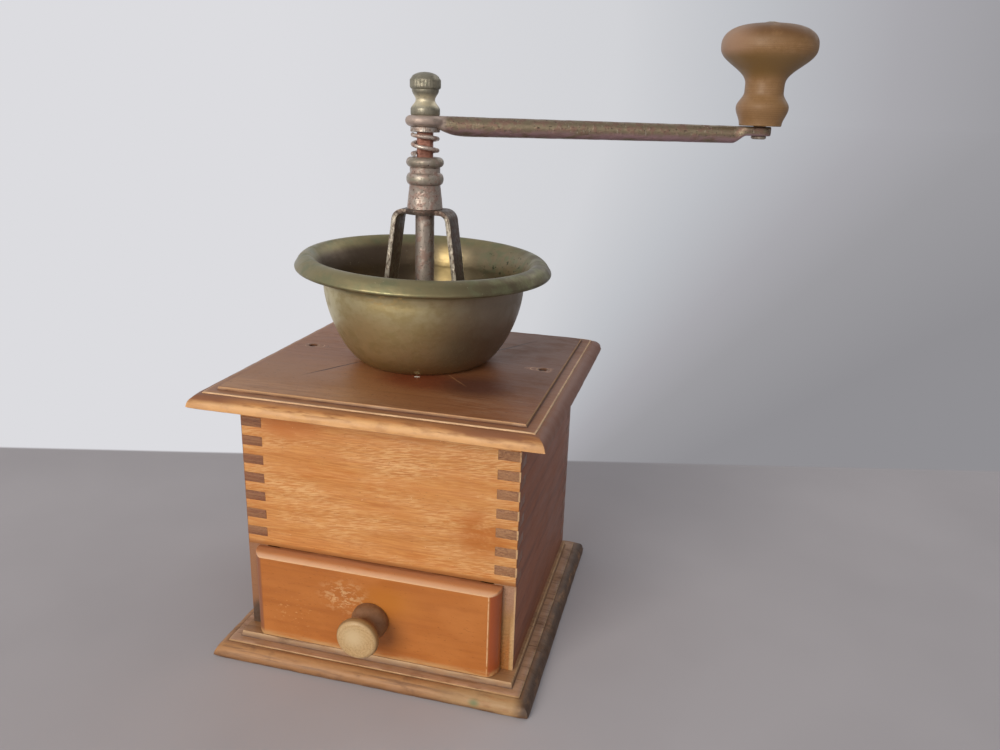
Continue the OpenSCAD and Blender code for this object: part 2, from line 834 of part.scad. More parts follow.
// Forged arm: round eye, round tapering bar with a flush top, and a flat tongue for the grip
module crank_arm() {
    shoulder_len = 2;
    eye_bite = 2.2;
    bar_start = eye_d / 2 + shoulder_len;
    tongue_start = crank_len - tongue_len;
    bar_end = tongue_start - ramp_len;
    bar_len = bar_end - bar_start;
    bar_tilt = atan((arm_d - arm_tip_d) / 2 / bar_len);
    slice = 0.4;
    set_in = 0.08;
    color(BROWN_IRON)
        at_crank()
            difference() {
                union() {
                    translate([0, 0, eye_bottom])
                        round_ring(eye_d / 2, eye_h, 0);
                    hull() {
                        translate([eye_d / 2 - eye_bite, -arm_d / 2 + set_in, eye_bottom + set_in])
                            cube([slice, arm_d - 2 * set_in, eye_h - 2 * set_in]);
                        translate([bar_start + slice, 0, eye_top - arm_d / 2])
                            rotate([0, 90 - bar_tilt, 0])
                                cylinder(h = slice, d = arm_d - 2 * set_in, $fn = 32);
                    }
                    translate([bar_start, 0, eye_top - arm_d / 2])
                        rotate([0, 90 - bar_tilt, 0])
                            cylinder(h = bar_len / cos(bar_tilt), d1 = arm_d, d2 = arm_tip_d);
                    hull() {
                        translate([bar_end - slice, 0, eye_top - arm_tip_d / 2])
                            rotate([0, 90 - bar_tilt, 0])
                                translate([0, 0, -slice])
                                    cylinder(h = slice, d = arm_tip_d - 2 * set_in, $fn = 32);
                        translate([tongue_start + slice, -tongue_w / 2 + set_in, tongue_bottom + set_in])
                            cube([slice, tongue_w - 2 * set_in, tongue_t - 2 * set_in]);
                    }
                    translate([tongue_start, 0, tongue_bottom])
                        linear_extrude(tongue_t) {
                            translate([0, -tongue_w / 2])
                                square([tongue_len, tongue_w]);
                            translate([tongue_len, 0])
                                circle(d = tongue_w);
                        }
                }
                translate([-square_w / 2 - run_gap, -square_w / 2 - run_gap, eye_bottom - past])
                    cube([square_w + 2 * run_gap, square_w + 2 * run_gap, eye_h + 2 * past]);
                translate([crank_len, 0, tongue_bottom - past])
                    cylinder(h = tongue_t + 2 * past, d = grip_pin_d + 2 * tight);
            }
}

module crank_washer() {
    color(STEEL)
        translate([0, 0, washer_bottom])
            difference() {
                cylinder(h = washer_h, d = washer_d);
                translate([0, 0, -past])
                    cylinder(h = washer_h + 2 * past, d = square_corner_d + 2 * run_gap);
            }
}

// Open wound spring: angle and height of its wire run down a left hand helix from the washer
spring_rings = 24;
spring_sides = 8;
spring_start = crank_angle + 185;
coil_r = (spring_d - wire_d) / 2;
coil_top = washer_bottom - spring_gap - wire_d / 2;
coil_bottom = seat_top + spring_gap + wire_d / 2;
coil_steps = round(spring_rings * spring_turns);
function coil_drop(t) = t - spring_close * sin(360 * t) / 360 * 180 / PI;
function coil_angle(t) = spring_start + 360 * spring_turns * t;
function coil_centre(t) = [
    coil_r * cos(coil_angle(t)),
    coil_r * sin(coil_angle(t)),
    coil_top + (coil_bottom - coil_top) * coil_drop(t)
];
function coil_tangent(t) = [-sin(coil_angle(t)), cos(coil_angle(t)), 0];
coil = concat(
    [coil_centre(0) - coil_tangent(0) * wire_d],
    [for (i = [0 : coil_steps]) coil_centre(i / coil_steps)],
    [coil_centre(1) + coil_tangent(1) * wire_d]
);
function coil_ring(i) =
    let (
        last = len(coil) - 1,
        t = min(max((i - 1) / coil_steps, 0), 1),
        along = unit(coil[min(i + 1, last)] - coil[max(i - 1, 0)]),
        out = [cos(coil_angle(t)), sin(coil_angle(t)), 0],
        up = unit(cross(along, out)),
        side = cross(up, along)
    )
    [
        for (k = [0 : spring_sides - 1])
            let (a = 360 * k / spring_sides)
            coil[i] + (side * cos(a) + up * sin(a)) * wire_d / 2
    ];
coil_points = [for (i = [0 : len(coil) - 1]) each coil_ring(i)];
function coil_index(i, k) = i * spring_sides + k % spring_sides;
coil_faces = concat(
    [
        for (i = [0 : len(coil) - 2], k = [0 : spring_sides - 1])
            each [
                [coil_index(i, k), coil_index(i + 1, k), coil_index(i + 1, k + 1)],
                [coil_index(i, k), coil_index(i + 1, k + 1), coil_index(i, k + 1)]
            ]
    ],
    [for (k = [1 : spring_sides - 2]) [0, k, k + 1]],
    [
        for (k = [1 : spring_sides - 2])
            let (i = len(coil) - 1)
            [coil_index(i, 0), coil_index(i, k + 1), coil_index(i, k)]
    ]
);
spring_self_gap = min([
    for (i = [0 : len(coil) - 1], j = [i + spring_rings / 2 : 1 : len(coil) - 1])
        norm(coil[i] - coil[j]) - wire_d
]);
echo(spring_least_gap_to_itself = spring_self_gap);

module crank_spring() {
    color(STEEL)
        polyhedron(coil_points, coil_faces);
}

// Turned nut with a flared foot, a waist and a knurled head over a small ring
module top_nut() {
    foot_at = 2.2;
    foot_bevel = 0.4;
    foot_bevel_in = 0.3;
    head_under = 0.4;
    head_over = 1.4;
    knurl_start = 0.6;
    waist_at = nut_h * 0.36;
    ring_at = nut_h * 0.58;
    head_at = nut_h * 0.73;
    ring_r2 = nut_head_d / 2 * 0.87;
    knurl_r = 0.4;
    flank = concat(
        [[nut_foot_d / 2 - foot_bevel_in, 0], [nut_foot_d / 2, foot_bevel]],
        turned([nut_foot_d / 2, foot_at], [nut_waist_d / 2, waist_at], 8),
        turned([nut_waist_d / 2, waist_at], [ring_r2, ring_at], 8),
        [[ring_r2, ring_at]],
        arc([ring_r2, head_at], nut_head_d / 2 - ring_r2, head_at - ring_at - head_under, -90, 30, 8),
        arc([0, head_at + head_over], nut_head_d / 2 * 0.9, nut_h - head_at - head_over, 12, 90, 8)
    );
    color(NUT_BRASS)
        translate([0, 0, eye_top])
            difference() {
                rotate_extrude()
                    polygon(concat([[0, 0]], flank));
                translate([0, 0, -past])
                    cylinder(h = nut_h * 0.82 + past, d = thread_d + 2 * run_gap);
                for (i = [0 : nut_knurls - 1])
                    rotate([0, 0, 360 * i / nut_knurls])
                        translate([nut_head_d / 2 + knurl_r / 2, 0, ring_at + knurl_start])
                            cylinder(h = nut_h - ring_at, r = knurl_r);
            }
}

module at_grip() {
    at_crank()
        translate([crank_len, 0, 0])
            children();
}

// Rivet that the grip turns on: tail under the tongue, head over the grip
module knob_pin() {
    tail_rim = 0.6;
    tail_d = grip_pin_d + 2 * tail_rim;
    tail_h = 1.3;
    head_h = 0.8;
    color(BROWN_IRON)
        at_grip() {
            translate([0, 0, tongue_bottom - tail_h])
                cylinder(h = tail_h, d = tail_d);
            translate([0, 0, tongue_bottom])
                cylinder(h = grip_bottom + grip_h + grip_gap - tongue_bottom, d = grip_pin_d);
            translate([0, 0, grip_bottom + grip_h + grip_gap])
                rotate_extrude()
                    polygon(concat([[0, 0]], arc([0, 0], tail_d / 2, head_h, 0, 90, 8)));
        }
}

// Turned grip: foot, bead, neck and a flattened head
module crank_knob() {
    bore = grip_pin_d / 2 + run_gap;
    flat_rim = 1.5;
    flat_r = grip_pin_d / 2 + flat_rim;
    foot = [grip_foot_d / 2, 0];
    bead = [grip_bead_d / 2, grip_bead_at];
    neck_low = [grip_neck_d / 2, grip_neck_at - grip_neck_len / 2];
    neck_high = [grip_neck_d / 2, grip_neck_at + grip_neck_len / 2];
    head = [grip_head_d / 2, grip_head_at];
    dome = [
        for (i = [0 : 12])
            let (a = 90 * i / 12)
            [flat_r + (head[0] - flat_r) * pow(cos(a), 0.85), head[1] + (grip_h - head[1]) * pow(sin(a), 0.85)]
    ];
    color(GRIP_WOOD)
        at_grip()
            translate([0, 0, grip_bottom])
                rotate_extrude()
                    polygon(concat(
                        [[bore, 0]],
                        turned(foot, bead, 8),
                        turned(bead, neck_low, 8),
                        [neck_low],
                        swelled(neck_high, head, 16),
                        dome,
                        [[bore, grip_h]]
                    ));
}

// Plan of the drawer front's lap, rounded over at both ends
module lap_plan() {
    round_x = lap_half - end_round;
    intersection() {
        translate([-lap_half, drawer_face])
            square([2 * lap_half, lap_back - drawer_face]);
        union() {
            translate([-round_x, drawer_face])
                square([2 * round_x, drawer_proud]);
            translate([-lap_half, drawer_face + ease_depth])
                square([2 * lap_half, drawer_land]);
            for (s = [-1, 1])
                translate([s * round_x, drawer_face + ease_depth])
                    circle(end_round);
        }
    }
}

// Section of the drawer front's lap, rounded over at the top; y runs along x and z along y
module lap_section() {
    intersection() {
        translate([drawer_face, drawer_floor])
            square([lap_back - drawer_face, drawer_top - drawer_floor]);
        union() {
            translate([drawer_face, drawer_floor])
                square([drawer_proud, drawer_top - drawer_floor - top_round]);
            translate([drawer_face + ease_depth, drawer_floor])
                square([drawer_land, drawer_top - drawer_floor]);
            translate([drawer_face + ease_depth, drawer_top - top_round])
                circle(top_round);
        }
    }
}

module drawer_front() {
    color(ORANGE_WOOD)
        difference() {
            union() {
                intersection() {
                    translate([0, 0, drawer_floor])
                        linear_extrude(drawer_top - drawer_floor)
                            lap_plan();
                    translate([-lap_half, 0, 0])
                        rotate([90, 0, 90])
                            linear_extrude(2 * lap_half)
                                lap_section();
                }
                translate([-drawer_half + drawer_wall_t, plug_front, drawer_floor])
                    cube([2 * (drawer_half - drawer_wall_t), plug_back - plug_front, drawer_top - drawer_floor]);
            }
            pull_tenon(tight);
            brad_set(tight);
        }
}

module drawer_side(s) {
    color(AMBER_WOOD)
        difference() {
            translate([s > 0 ? drawer_half - drawer_wall_t : -drawer_half, lap_back, drawer_floor])
                cube([drawer_wall_t, drawer_end - lap_back, drawer_wall_h]);
            brad_set(tight);
        }
}

module drawer_left_side() {
    drawer_side(-1);
}

module drawer_right_side() {
    drawer_side(1);
}

module drawer_back() {
    color(AMBER_WOOD)
        difference() {
            translate([-drawer_half + drawer_wall_t, drawer_end - drawer_wall_t, drawer_floor])
                cube([2 * (drawer_half - drawer_wall_t), drawer_wall_t, drawer_wall_h]);
            brad_set(tight);
        }
}

module drawer_bottom() {
    color(PALE_WOOD)
        translate([-drawer_half + drawer_wall_t, plug_back, drawer_floor])
            cube([2 * (drawer_half - drawer_wall_t), drawer_end - drawer_wall_t - plug_back, drawer_bottom_t]);
}

module drawer_nails() {
    color(DARK_IRON)
        brad_set(0);
}

// Places the drawer knob's own axis, which runs up in its own frame, out of the drawer's face
module at_pull() {
    translate([0, drawer_face, pull_z])
        rotate([90, 0, 0])
            children();
}

module pull_tenon(room) {
    at_pull()
        translate([0, 0, -pull_tenon_len - room])
            cylinder(h = pull_tenon_len + room + tight, d = pull_tenon_d + 2 * room);
}

// Turned pull: round foot, hollow neck and a flat faced head with a rounded edge, glued in by a tenon
module drawer_knob() {
    neck_at = pull_len * 0.48;
    head_at = pull_len - pull_edge_r;
    color(PALE_WOOD) {
        at_pull()
            rotate_extrude()
                polygon(concat(
                    [[0, 0], [pull_foot_d / 2, 0]],
                    turned([pull_foot_d / 2, pull_foot_edge], [pull_neck_d / 2, neck_at], 8),
                    turned([pull_neck_d / 2, neck_at], [pull_head_d / 2, head_at], 8),
                    arc([pull_head_d / 2 - pull_edge_r, head_at], pull_edge_r, pull_edge_r, 0, 90, 8),
                    [[0, pull_len]]
                ));
        pull_tenon(0);
    }
}

base_board();
left_side_board();
right_side_board();
front_board();
back_board();
top_board();
top_nails();
base_screws();
hopper_bowl();
yoke();
yoke_bolts();
yoke_nuts();
shaft_bushing();
spring_seat_ring();
ring_burr();
cone_burr();
burr_pin();
drive_shaft();
crank_arm();
crank_washer();
crank_spring();
top_nut();
knob_pin();
crank_knob();
drawer_front();
drawer_left_side();
drawer_right_side();
drawer_back();
drawer_bottom();
drawer_nails();
drawer_knob();
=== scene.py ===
import math

import bmesh
import bpy
from mathutils import Matrix, Vector, noise


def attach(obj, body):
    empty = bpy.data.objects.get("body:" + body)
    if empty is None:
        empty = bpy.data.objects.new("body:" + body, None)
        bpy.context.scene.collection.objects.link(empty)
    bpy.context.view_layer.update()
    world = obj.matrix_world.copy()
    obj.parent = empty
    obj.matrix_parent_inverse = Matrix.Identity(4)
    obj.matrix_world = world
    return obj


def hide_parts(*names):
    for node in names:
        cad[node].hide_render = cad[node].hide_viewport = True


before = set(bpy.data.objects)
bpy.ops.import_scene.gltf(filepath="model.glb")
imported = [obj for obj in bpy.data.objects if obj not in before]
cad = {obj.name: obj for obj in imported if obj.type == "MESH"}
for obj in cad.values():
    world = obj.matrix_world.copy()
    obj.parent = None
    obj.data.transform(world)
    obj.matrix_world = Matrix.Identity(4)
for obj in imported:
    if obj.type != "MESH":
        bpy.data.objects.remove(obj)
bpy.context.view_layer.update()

# Stand, light and camera
# The mill stands on a plain pale table top, in soft daylight from a low window before it.
# The camera stands where the photograph was taken from, a little above the bowl.
scene = bpy.context.scene
scene.view_settings.view_transform = "Standard"


def linear(code):
    """An sRGB hex colour as linear RGBA."""
    parts = [int(code[i:i + 2], 16) / 255 for i in (1, 3, 5)]
    return tuple(p / 12.92 if p <= 0.04045 else ((p + 0.055) / 1.055) ** 2.4 for p in parts) + (1.0,)


def add(tree, kind, inputs=None, out=0, stops=None, **settings):
    """Adds a node with its settings, links or sets its inputs, and returns one of its outputs."""
    made = tree.nodes.new(kind)
    for key, value in settings.items():
        setattr(made, key, value)
    for key, value in (inputs or {}).items():
        if isinstance(value, bpy.types.NodeSocket):
            tree.links.new(value, made.inputs[key])
        else:
            made.inputs[key].default_value = value
    for i, (place, code, alpha) in enumerate(stops or []):
        ramp = made.color_ramp.elements
        stop = ramp[i] if i < 2 else ramp.new(place)
        stop.position = place
        stop.color = linear(code)[:3] + (alpha,)
    return made.outputs[out]


def surface(name, **constants):
    """A new material with its shader's constant inputs set; returns the material, its tree and its shader."""
    made = bpy.data.materials.new(name)
    made.use_nodes = True
    shader = made.node_tree.nodes["Principled BSDF"]
    for key, value in constants.items():
        shader.inputs[key.replace("_", " ")].default_value = value
    return made, made.node_tree, shader


def piece(name, points, faces, material, smooth=35.0):
    """A mesh object from points in millimetres, with edges kept sharp above an angle in degrees."""
    mesh = bpy.data.meshes.new(name)
    mesh.from_pydata([Vector(p) / 1000 for p in points], [], faces)
    work = bmesh.new()
    work.from_mesh(mesh)
    bmesh.ops.recalc_face_normals(work, faces=work.faces)
    work.to_mesh(mesh)
    work.free()
    mesh.materials.append(material)
    mesh.shade_smooth()
    mesh.set_sharp_from_angle(angle=math.radians(smooth))
    made = bpy.data.objects.new(name, mesh)
    scene.collection.objects.link(made)
    return made


def seen(tree):
    """1 for rays that show the room, in metal and glass too; 0 for rays that light the mill."""
    path = add(tree, "ShaderNodeLightPath").node.outputs
    first = add(tree, "ShaderNodeMath", {0: path["Is Camera Ray"], 1: path["Is Glossy Ray"]},
                operation="MAXIMUM")
    return add(tree, "ShaderNodeMath", {0: first, 1: path["Is Transmission Ray"]}, operation="MAXIMUM")


# The table ends in a pale wall a hand's width behind the mill; the wall is drawn on the same plane.
# The plane lies a hair under the base, so that the two never share a face.
TABLE, TABLE_TOP, WALL_AT, WALL_TURN, WALL_SOFT = 40000.0, -0.2, 174.0, 15.3, 1.5


def wall_tone(tree, way):
    """Tone of the wall in a direction from the mill: pale on the window's side, darker to the right of it."""
    side = add(tree, "ShaderNodeSeparateXYZ", {0: way}, out="X")
    place = add(tree, "ShaderNodeMapRange", {"Value": side, "From Min": -0.5, "From Max": 0.5})
    return add(tree, "ShaderNodeValToRGB", {"Fac": place}, stops=[
        (0.02, "#dcdce0", 1.0), (1.0, "#908f93", 1.0), (0.38, "#d2d3d7", 1.0), (0.52, "#bfc1c6", 1.0),
        (0.67, "#a9a8ad", 1.0), (0.78, "#9c9b9f", 1.0)])


# Matt paint: no grain and hardly any gloss, only faint clouds of tone a hand's width across.
table_paint, table_tree, table_shader = surface("matt_table_paint", Roughness=0.85)
table_place = add(table_tree, "ShaderNodeTexCoord", out="Object")
table_tone = add(table_tree, "ShaderNodeTexNoise", {"Vector": table_place, "Scale": 9.0, "Detail": 3.0})
painted = add(table_tree, "ShaderNodeValToRGB", {"Fac": table_tone}, stops=[
    (0.35, "#b7b4ba", 1.0), (0.65, "#bdbac0", 1.0)])
table_tree.links.new(painted, table_shader.inputs["Base Color"])
from_wall = add(table_tree, "ShaderNodeMapping", {
    "Vector": table_place, "Location": (0.0, WALL_AT / 1000, 0.0),
    "Rotation": (0.0, 0.0, math.radians(WALL_TURN))}, vector_type="TEXTURE")
behind = add(table_tree, "ShaderNodeSeparateXYZ", {0: from_wall}, out="Y")
beyond = add(table_tree, "ShaderNodeMapRange", {
    "Value": behind, "From Min": -WALL_SOFT / 1000, "From Max": WALL_SOFT / 1000})
away = add(table_tree, "ShaderNodeVectorMath", {0: table_place}, operation="NORMALIZE")
pale = add(table_tree, "ShaderNodeEmission", {"Color": wall_tone(table_tree, away)})
wall_seen = add(table_tree, "ShaderNodeMath", {0: beyond, 1: seen(table_tree)}, operation="MULTIPLY")
shown = add(table_tree, "ShaderNodeMixShader", {0: wall_seen, 1: table_shader.outputs[0], 2: pale})
table_tree.links.new(shown, table_tree.nodes["Material Output"].inputs["Surface"])
corners = [(x, y, TABLE_TOP) for x, y in ((-TABLE, -TABLE), (TABLE, -TABLE), (TABLE, TABLE), (-TABLE, TABLE))]
table = piece("table_top", corners, [(0, 1, 2, 3)], table_paint)

world = bpy.data.worlds.new("window_light")
scene.world = world
world.use_nodes = True
sky = world.node_tree
sky.nodes.clear()
room = add(sky, "ShaderNodeBackground", {"Color": linear("#dddcdc"), "Strength": 0.42})
wall_light = add(sky, "ShaderNodeBackground", {
    "Color": wall_tone(sky, add(sky, "ShaderNodeTexCoord", out="Generated")), "Strength": 1.0})
both = add(sky, "ShaderNodeMixShader", {0: seen(sky), 1: room, 2: wall_light})
sky.links.new(both, sky.nodes.new("ShaderNodeOutputWorld").inputs["Surface"])

WINDOWS = (
    # name, place, aim, width and height, watts, colour
    ("window_key", (-0.45, -1.44, 0.66), (0.0, 0.0, 0.12), (0.9, 0.7), 17.0, "#fff6ea"),
    ("window_fill", (0.9, -1.3, 0.9), (0.0, 0.0, 0.10), (1.2, 1.2), 3.0, "#f6f2ec"),
    ("room_back", (0.6, 1.0, 1.0), (0.0, 0.0, 0.16), (1.0, 1.0), 3.0, "#f4f2ee"),
)
for name, place, aim, size, watts, code in WINDOWS:
    lamp = bpy.data.lights.new(name, "AREA")
    lamp.shape = "RECTANGLE"
    lamp.size, lamp.size_y = size
    lamp.energy = watts
    lamp.color = linear(code)[:3]
    stand = bpy.data.objects.new(name, lamp)
    stand.location = place
    stand.rotation_euler = (Vector(aim) - Vector(place)).to_track_quat("-Z", "Y").to_euler()
    scene.collection.objects.link(stand)

EYE = Vector((0.120743, -0.342102, 0.231542))
YAW, PITCH, ROLL = (math.radians(a) for a in (13.921, 17.786, 1.933))
FOCAL_PX, PHOTO_PX = 824.205, 1000
ahead = Vector((-math.sin(YAW) * math.cos(PITCH), math.cos(YAW) * math.cos(PITCH), -math.sin(PITCH)))
level = Vector((math.cos(YAW), math.sin(YAW), 0.0))
upright = level.cross(ahead)
across = math.cos(ROLL) * level + math.sin(ROLL) * upright
upward = -math.sin(ROLL) * level + math.cos(ROLL) * upright
lens = bpy.data.cameras.new("photo_camera")
lens.sensor_width = 36.0
lens.lens = FOCAL_PX * lens.sensor_width / PHOTO_PX
lens.clip_start = 0.01
camera = bpy.data.objects.new("photo_camera", lens)
turn = Matrix((across, upward, -ahead)).transposed().to_4x4()
camera.matrix_world = Matrix.Translation(EYE) @ turn
scene.collection.objects.link(camera)
scene.camera = camera

# Base board
# A beech board with a rounded edge, a flat band and a step run round it by a moulding plane.
# Its stain has worn off the round edge, and dust and old grease lie in the band.


def marks(tree, along, length, width, low=None, high=None, shift=0.0, tilt=(0.0, 0.0, 0.0), detail=4.0):
    """Noise in marks of length by width in millimetres along an axis; low and high cut it to a mask."""
    size = [width / 1000] * 3
    size["XYZ".index(along)] = length / 1000
    drawn = add(tree, "ShaderNodeMapping", {
        "Vector": add(tree, "ShaderNodeTexCoord", out="Object"), "Rotation": tilt, "Scale": size,
        "Location": (shift, shift * 0.7, shift * 1.3)}, vector_type="TEXTURE")
    found = add(tree, "ShaderNodeTexNoise", {
        "Vector": drawn, "Scale": 1.0, "Detail": detail, "Roughness": 0.6})
    if low is None:
        return found
    return add(tree, "ShaderNodeMapRange", {"Value": found, "From Min": low, "From Max": high},
               interpolation_type="SMOOTHSTEP")


def zone(tree, axis, low, high):
    """A mask that rises from 0 to 1 between two places along an axis, in millimetres."""
    split = add(tree, "ShaderNodeSeparateXYZ", {0: add(tree, "ShaderNodeTexCoord", out="Object")}, out=axis)
    return add(tree, "ShaderNodeMapRange", {"Value": split, "From Min": low / 1000, "From Max": high / 1000},
               interpolation_type="SMOOTHSTEP")


def spot(tree, place, size, soft=0.5):
    """A round or oval mask about a place, with half widths in millimetres; it fades over its outer share."""
    near = add(tree, "ShaderNodeMapping", {
        "Vector": add(tree, "ShaderNodeTexCoord", out="Object"), "Location": Vector(place) / 1000,
        "Scale": Vector(size) / 1000}, vector_type="TEXTURE")
    far = add(tree, "ShaderNodeVectorMath", {0: near}, out="Value", operation="LENGTH")
    return add(tree, "ShaderNodeMapRange", {"Value": far, "From Min": 1.0, "From Max": 1.0 - soft},
               interpolation_type="SMOOTHSTEP")


def both_masks(tree, *masks):
    """The product of several masks."""
    made = masks[0]
    for mask in masks[1:]:
        made = add(tree, "ShaderNodeMath", {0: made, 1: mask}, operation="MULTIPLY")
    return made


def coat(tree, shader, ground, layers):
    """Lays colours over a ground by their masks, and leaves the result on the shader."""
    made = linear(ground)
    for mask, tone in layers:
        tone = linear(tone) if isinstance(tone, str) else tone
        made = add(tree, "ShaderNodeMix", {0: mask, 6: made, 7: tone}, out=2, data_type="RGBA")
    tree.links.new(made, shader.inputs["Base Color"])


def relief(tree, shader, parts):
    """Bump from several patterns, each with its height in millimetres."""
    height = 0.0
    for pattern, depth in parts:
        height = add(tree, "ShaderNodeMath", {0: pattern, 1: depth, 2: height}, operation="MULTIPLY_ADD")
    bump = add(tree, "ShaderNodeBump", {"Height": height, "Distance": 0.001, "Strength": 1.0})
    tree.links.new(bump, shader.inputs["Normal"])


def sheen_range(tree, shader, pattern, low, high):
    """Roughness that follows a pattern between two values."""
    made = add(tree, "ShaderNodeMapRange", {"Value": pattern, "To Min": low, "To Max": high})
    tree.links.new(made, shader.inputs["Roughness"])


def worn(seed, place, size):
    """Smooth noise from -1 to 1 at a place in millimetres, with waves of about size."""
    return noise.noise(Vector(place) / size + Vector((seed * 7.3, seed * 3.1, seed * 5.7)))


def moulded(name, half, front, back, floor, outline, hole, material, seed):
    """A moulded board. The outline runs from under the edge to the field as inset, rise and wear."""
    steps, fine_wave, broad_wave, corner, sink, field = 64, 5.0, 21.0, 2.2, 0.6, 60.0
    rings, insets = [], []
    for inset, rise, wear in outline:
        left, right, near, far = inset - half, half - inset, front + inset, back - inset
        corners = ((left, near), (right, near), (right, far), (left, far))
        ring = []
        for side in range(4):
            (x0, y0), (x1, y1) = corners[side], corners[(side + 1) % 4]
            for i in range(steps):
                t = i / steps
                x, y = x0 + (x1 - x0) * t, y0 + (y1 - y0) * t
                rough = 0.35 + worn(seed, (x, y, rise * 3), fine_wave)
                rub = wear * max(0.0, rough + 0.5 * worn(seed + 1, (x, y, rise), broad_wave))
                nearest = min(t, 1 - t) * (abs(x1 - x0) + abs(y1 - y0))
                rub += wear * corner * math.exp(-(nearest / corner) ** 2)
                pull = Vector((x, y)).normalized() * -rub
                ring.append((x + pull.x, y + pull.y, floor + rise - (sink * rub if rise > 1 else 0.0)))
        rings.append(ring)
        insets.append(inset)
    count = 4 * steps
    if hole:
        angles = [math.atan2(y, x) for x, y, _ in rings[-1]]
        for z in (floor + outline[-1][1], floor):
            rings.append([(hole * math.cos(a), hole * math.sin(a), z) for a in angles])
            insets.append(field)
    points = [p for ring in rings for p in ring]
    faces = []
    for i in range(len(rings) - (0 if hole else 1)):
        a, b = i * count, (i + 1) % len(rings) * count
        faces += [(a + j, a + (j + 1) % count, b + (j + 1) % count, b + j) for j in range(count)]
    if not hole:
        faces += [tuple(range(count)), tuple(range(len(points) - count, len(points)))]
    made = piece(name, points, faces, material, smooth=42.0)
    values = made.data.attributes.new("inset", "FLOAT", "POINT")
    values.data.foreach_set("value", [d for d in insets for _ in range(count)])
    return made


# A moulded edge takes up this much of a board, in millimetres inwards from its rim.
EDGE_SPAN = 14.0


def edge_outline(thick, step, quirk=0.5, radius=5.0, band=4.3, wear=0.28):
    """Outline of a moulded edge: underside, round edge, quirk, band, step and the start of the field."""
    top, foot = thick - step, radius + band
    low = top - quirk - radius
    made = [(EDGE_SPAN, 0.0, 0.0), (0.9, 0.0, 0.0), (0.25, 0.15, wear), (0.0, low, wear * 0.6)]
    for i in range(1, 13):
        a = math.radians(90 * i / 12)
        made.append((radius * (1 - math.cos(a)), low + radius * math.sin(a), wear * (0.9 - 0.5 * i / 12)))
    made += [(radius, top - 0.22, wear * 0.3), (radius + 0.2, top, wear * 0.5)]
    made += [(radius + band * 0.5, top, 0.0), (foot - 0.12, top, 0.0), (foot, top + 0.15, 0.0)]
    made += [(foot + 0.08, thick - 0.25, wear * 0.5), (foot + 0.3, thick, wear * 0.4)]
    return made + [(foot + 3.0, thick, 0.0)]


def edge_tones(tree, inset, broken, least, stops):
    """Colours of a moulded edge by its inset, and their mask, which broken marks thin to a least share."""
    run = add(tree, "ShaderNodeMath", {0: inset, 1: 1 / EDGE_SPAN}, operation="MULTIPLY")
    tones = add(tree, "ShaderNodeValToRGB", {"Fac": run}, stops=stops)
    share = add(tree, "ShaderNodeMapRange", {"Value": broken, "To Min": least, "To Max": 1.0})
    return tones, both_masks(tree, tones.node.outputs["Alpha"], share)


def bake(made):
    """Turns an object's modifiers into its mesh."""
    bpy.context.view_layer.update()
    graph = bpy.context.evaluated_depsgraph_get()
    mesh = bpy.data.meshes.new_from_object(made.evaluated_get(graph), depsgraph=graph)
    made.modifiers.clear()
    made.data = mesh


def carve(made, cutter):
    """Cuts one mesh out of another, and deletes the cutter."""
    cut = made.modifiers.new("cut", "BOOLEAN")
    cut.operation, cut.solver, cut.object = "DIFFERENCE", "EXACT", cutter
    bake(made)
    bpy.data.objects.remove(cutter)


def turned(name, outline, material, steps=96, place=(0.0, 0.0, 0.0), aim=(0.0, 0.0, 1.0)):
    """A turned piece from its outline of radius and height, in millimetres, set up along aim from place."""
    to = Vector((0, 0, 1)).rotation_difference(Vector(aim))
    points, faces, rows = [], [], []
    for r, z in outline:
        row = []
        for j in range(steps if r > 1e-6 else 1):
            a = math.tau * j / steps
            row.append(len(points))
            points.append(Vector(place) + to @ Vector((r * math.cos(a), r * math.sin(a), z)))
        rows.append(row)
    for low, high in zip(rows, rows[1:] + rows[:1]):
        if len(low) == 1 and len(high) == 1:
            continue
        for j in range(steps):
            k = (j + 1) % steps
            ring = [low[j % len(low)], low[k % len(low)], high[k % len(high)], high[j % len(high)]]
            faces.append(tuple(dict.fromkeys(ring)))
    return piece(name, points, faces, material)


BASE_HALF, BASE_FRONT, BASE_BACK, BASE_T, BASE_STEP = 70.9, -75.1, 66.7, 8.8, 2.6
# Stained beech, worn: fine long grain, bare wood on the round edge, grime in the hollows, and a right side
# painted almost black as grime and painted shade. Real pores are a tenth of a millimetre wide, too fine for
# the render. Here and on every other wood of the mill the grain is drawn as coarse as it needs to show.
base_wood, tree, shader = surface("worn_stained_beech")
inset = add(tree, "ShaderNodeAttribute", out="Fac", attribute_name="inset")
moulding, edge_mask = edge_tones(tree, inset, marks(tree, "X", 7.0, 2.5, 0.28, 0.62, shift=0.3), 0.45, [
    (0.0, "#8a6242", 0.55), (1.0, "#8a6549", 0.4), (0.05, "#b28151", 0.8), (0.2, "#ba8959", 0.9),
    (0.31, "#9c6d46", 0.8), (0.352, "#5a3c2a", 0.95), (0.361, "#dcb686", 0.95), (0.374, "#d2aa80", 0.85),
    (0.4, "#c49b80", 0.85), (0.62, "#b89274", 0.85), (0.655, "#583e2e", 0.95), (0.666, "#75543d", 0.9),
    (0.671, "#dcb88a", 0.9), (0.69, "#b08a66", 0.6)])
bands = marks(tree, "X", 80.0, 8.0, 0.35, 0.7)
fine = marks(tree, "X", 11.0, 0.5, shift=1.1, detail=5.0)
streak = marks(tree, "X", 26.0, 1.3, 0.5, 0.72, shift=2.0)
grime = marks(tree, "X", 15.0, 8.0, 0.5, 0.75, shift=4.0)
caked = both_masks(tree, grime, marks(tree, "X", 6.0, 3.0, 0.3, 0.6))
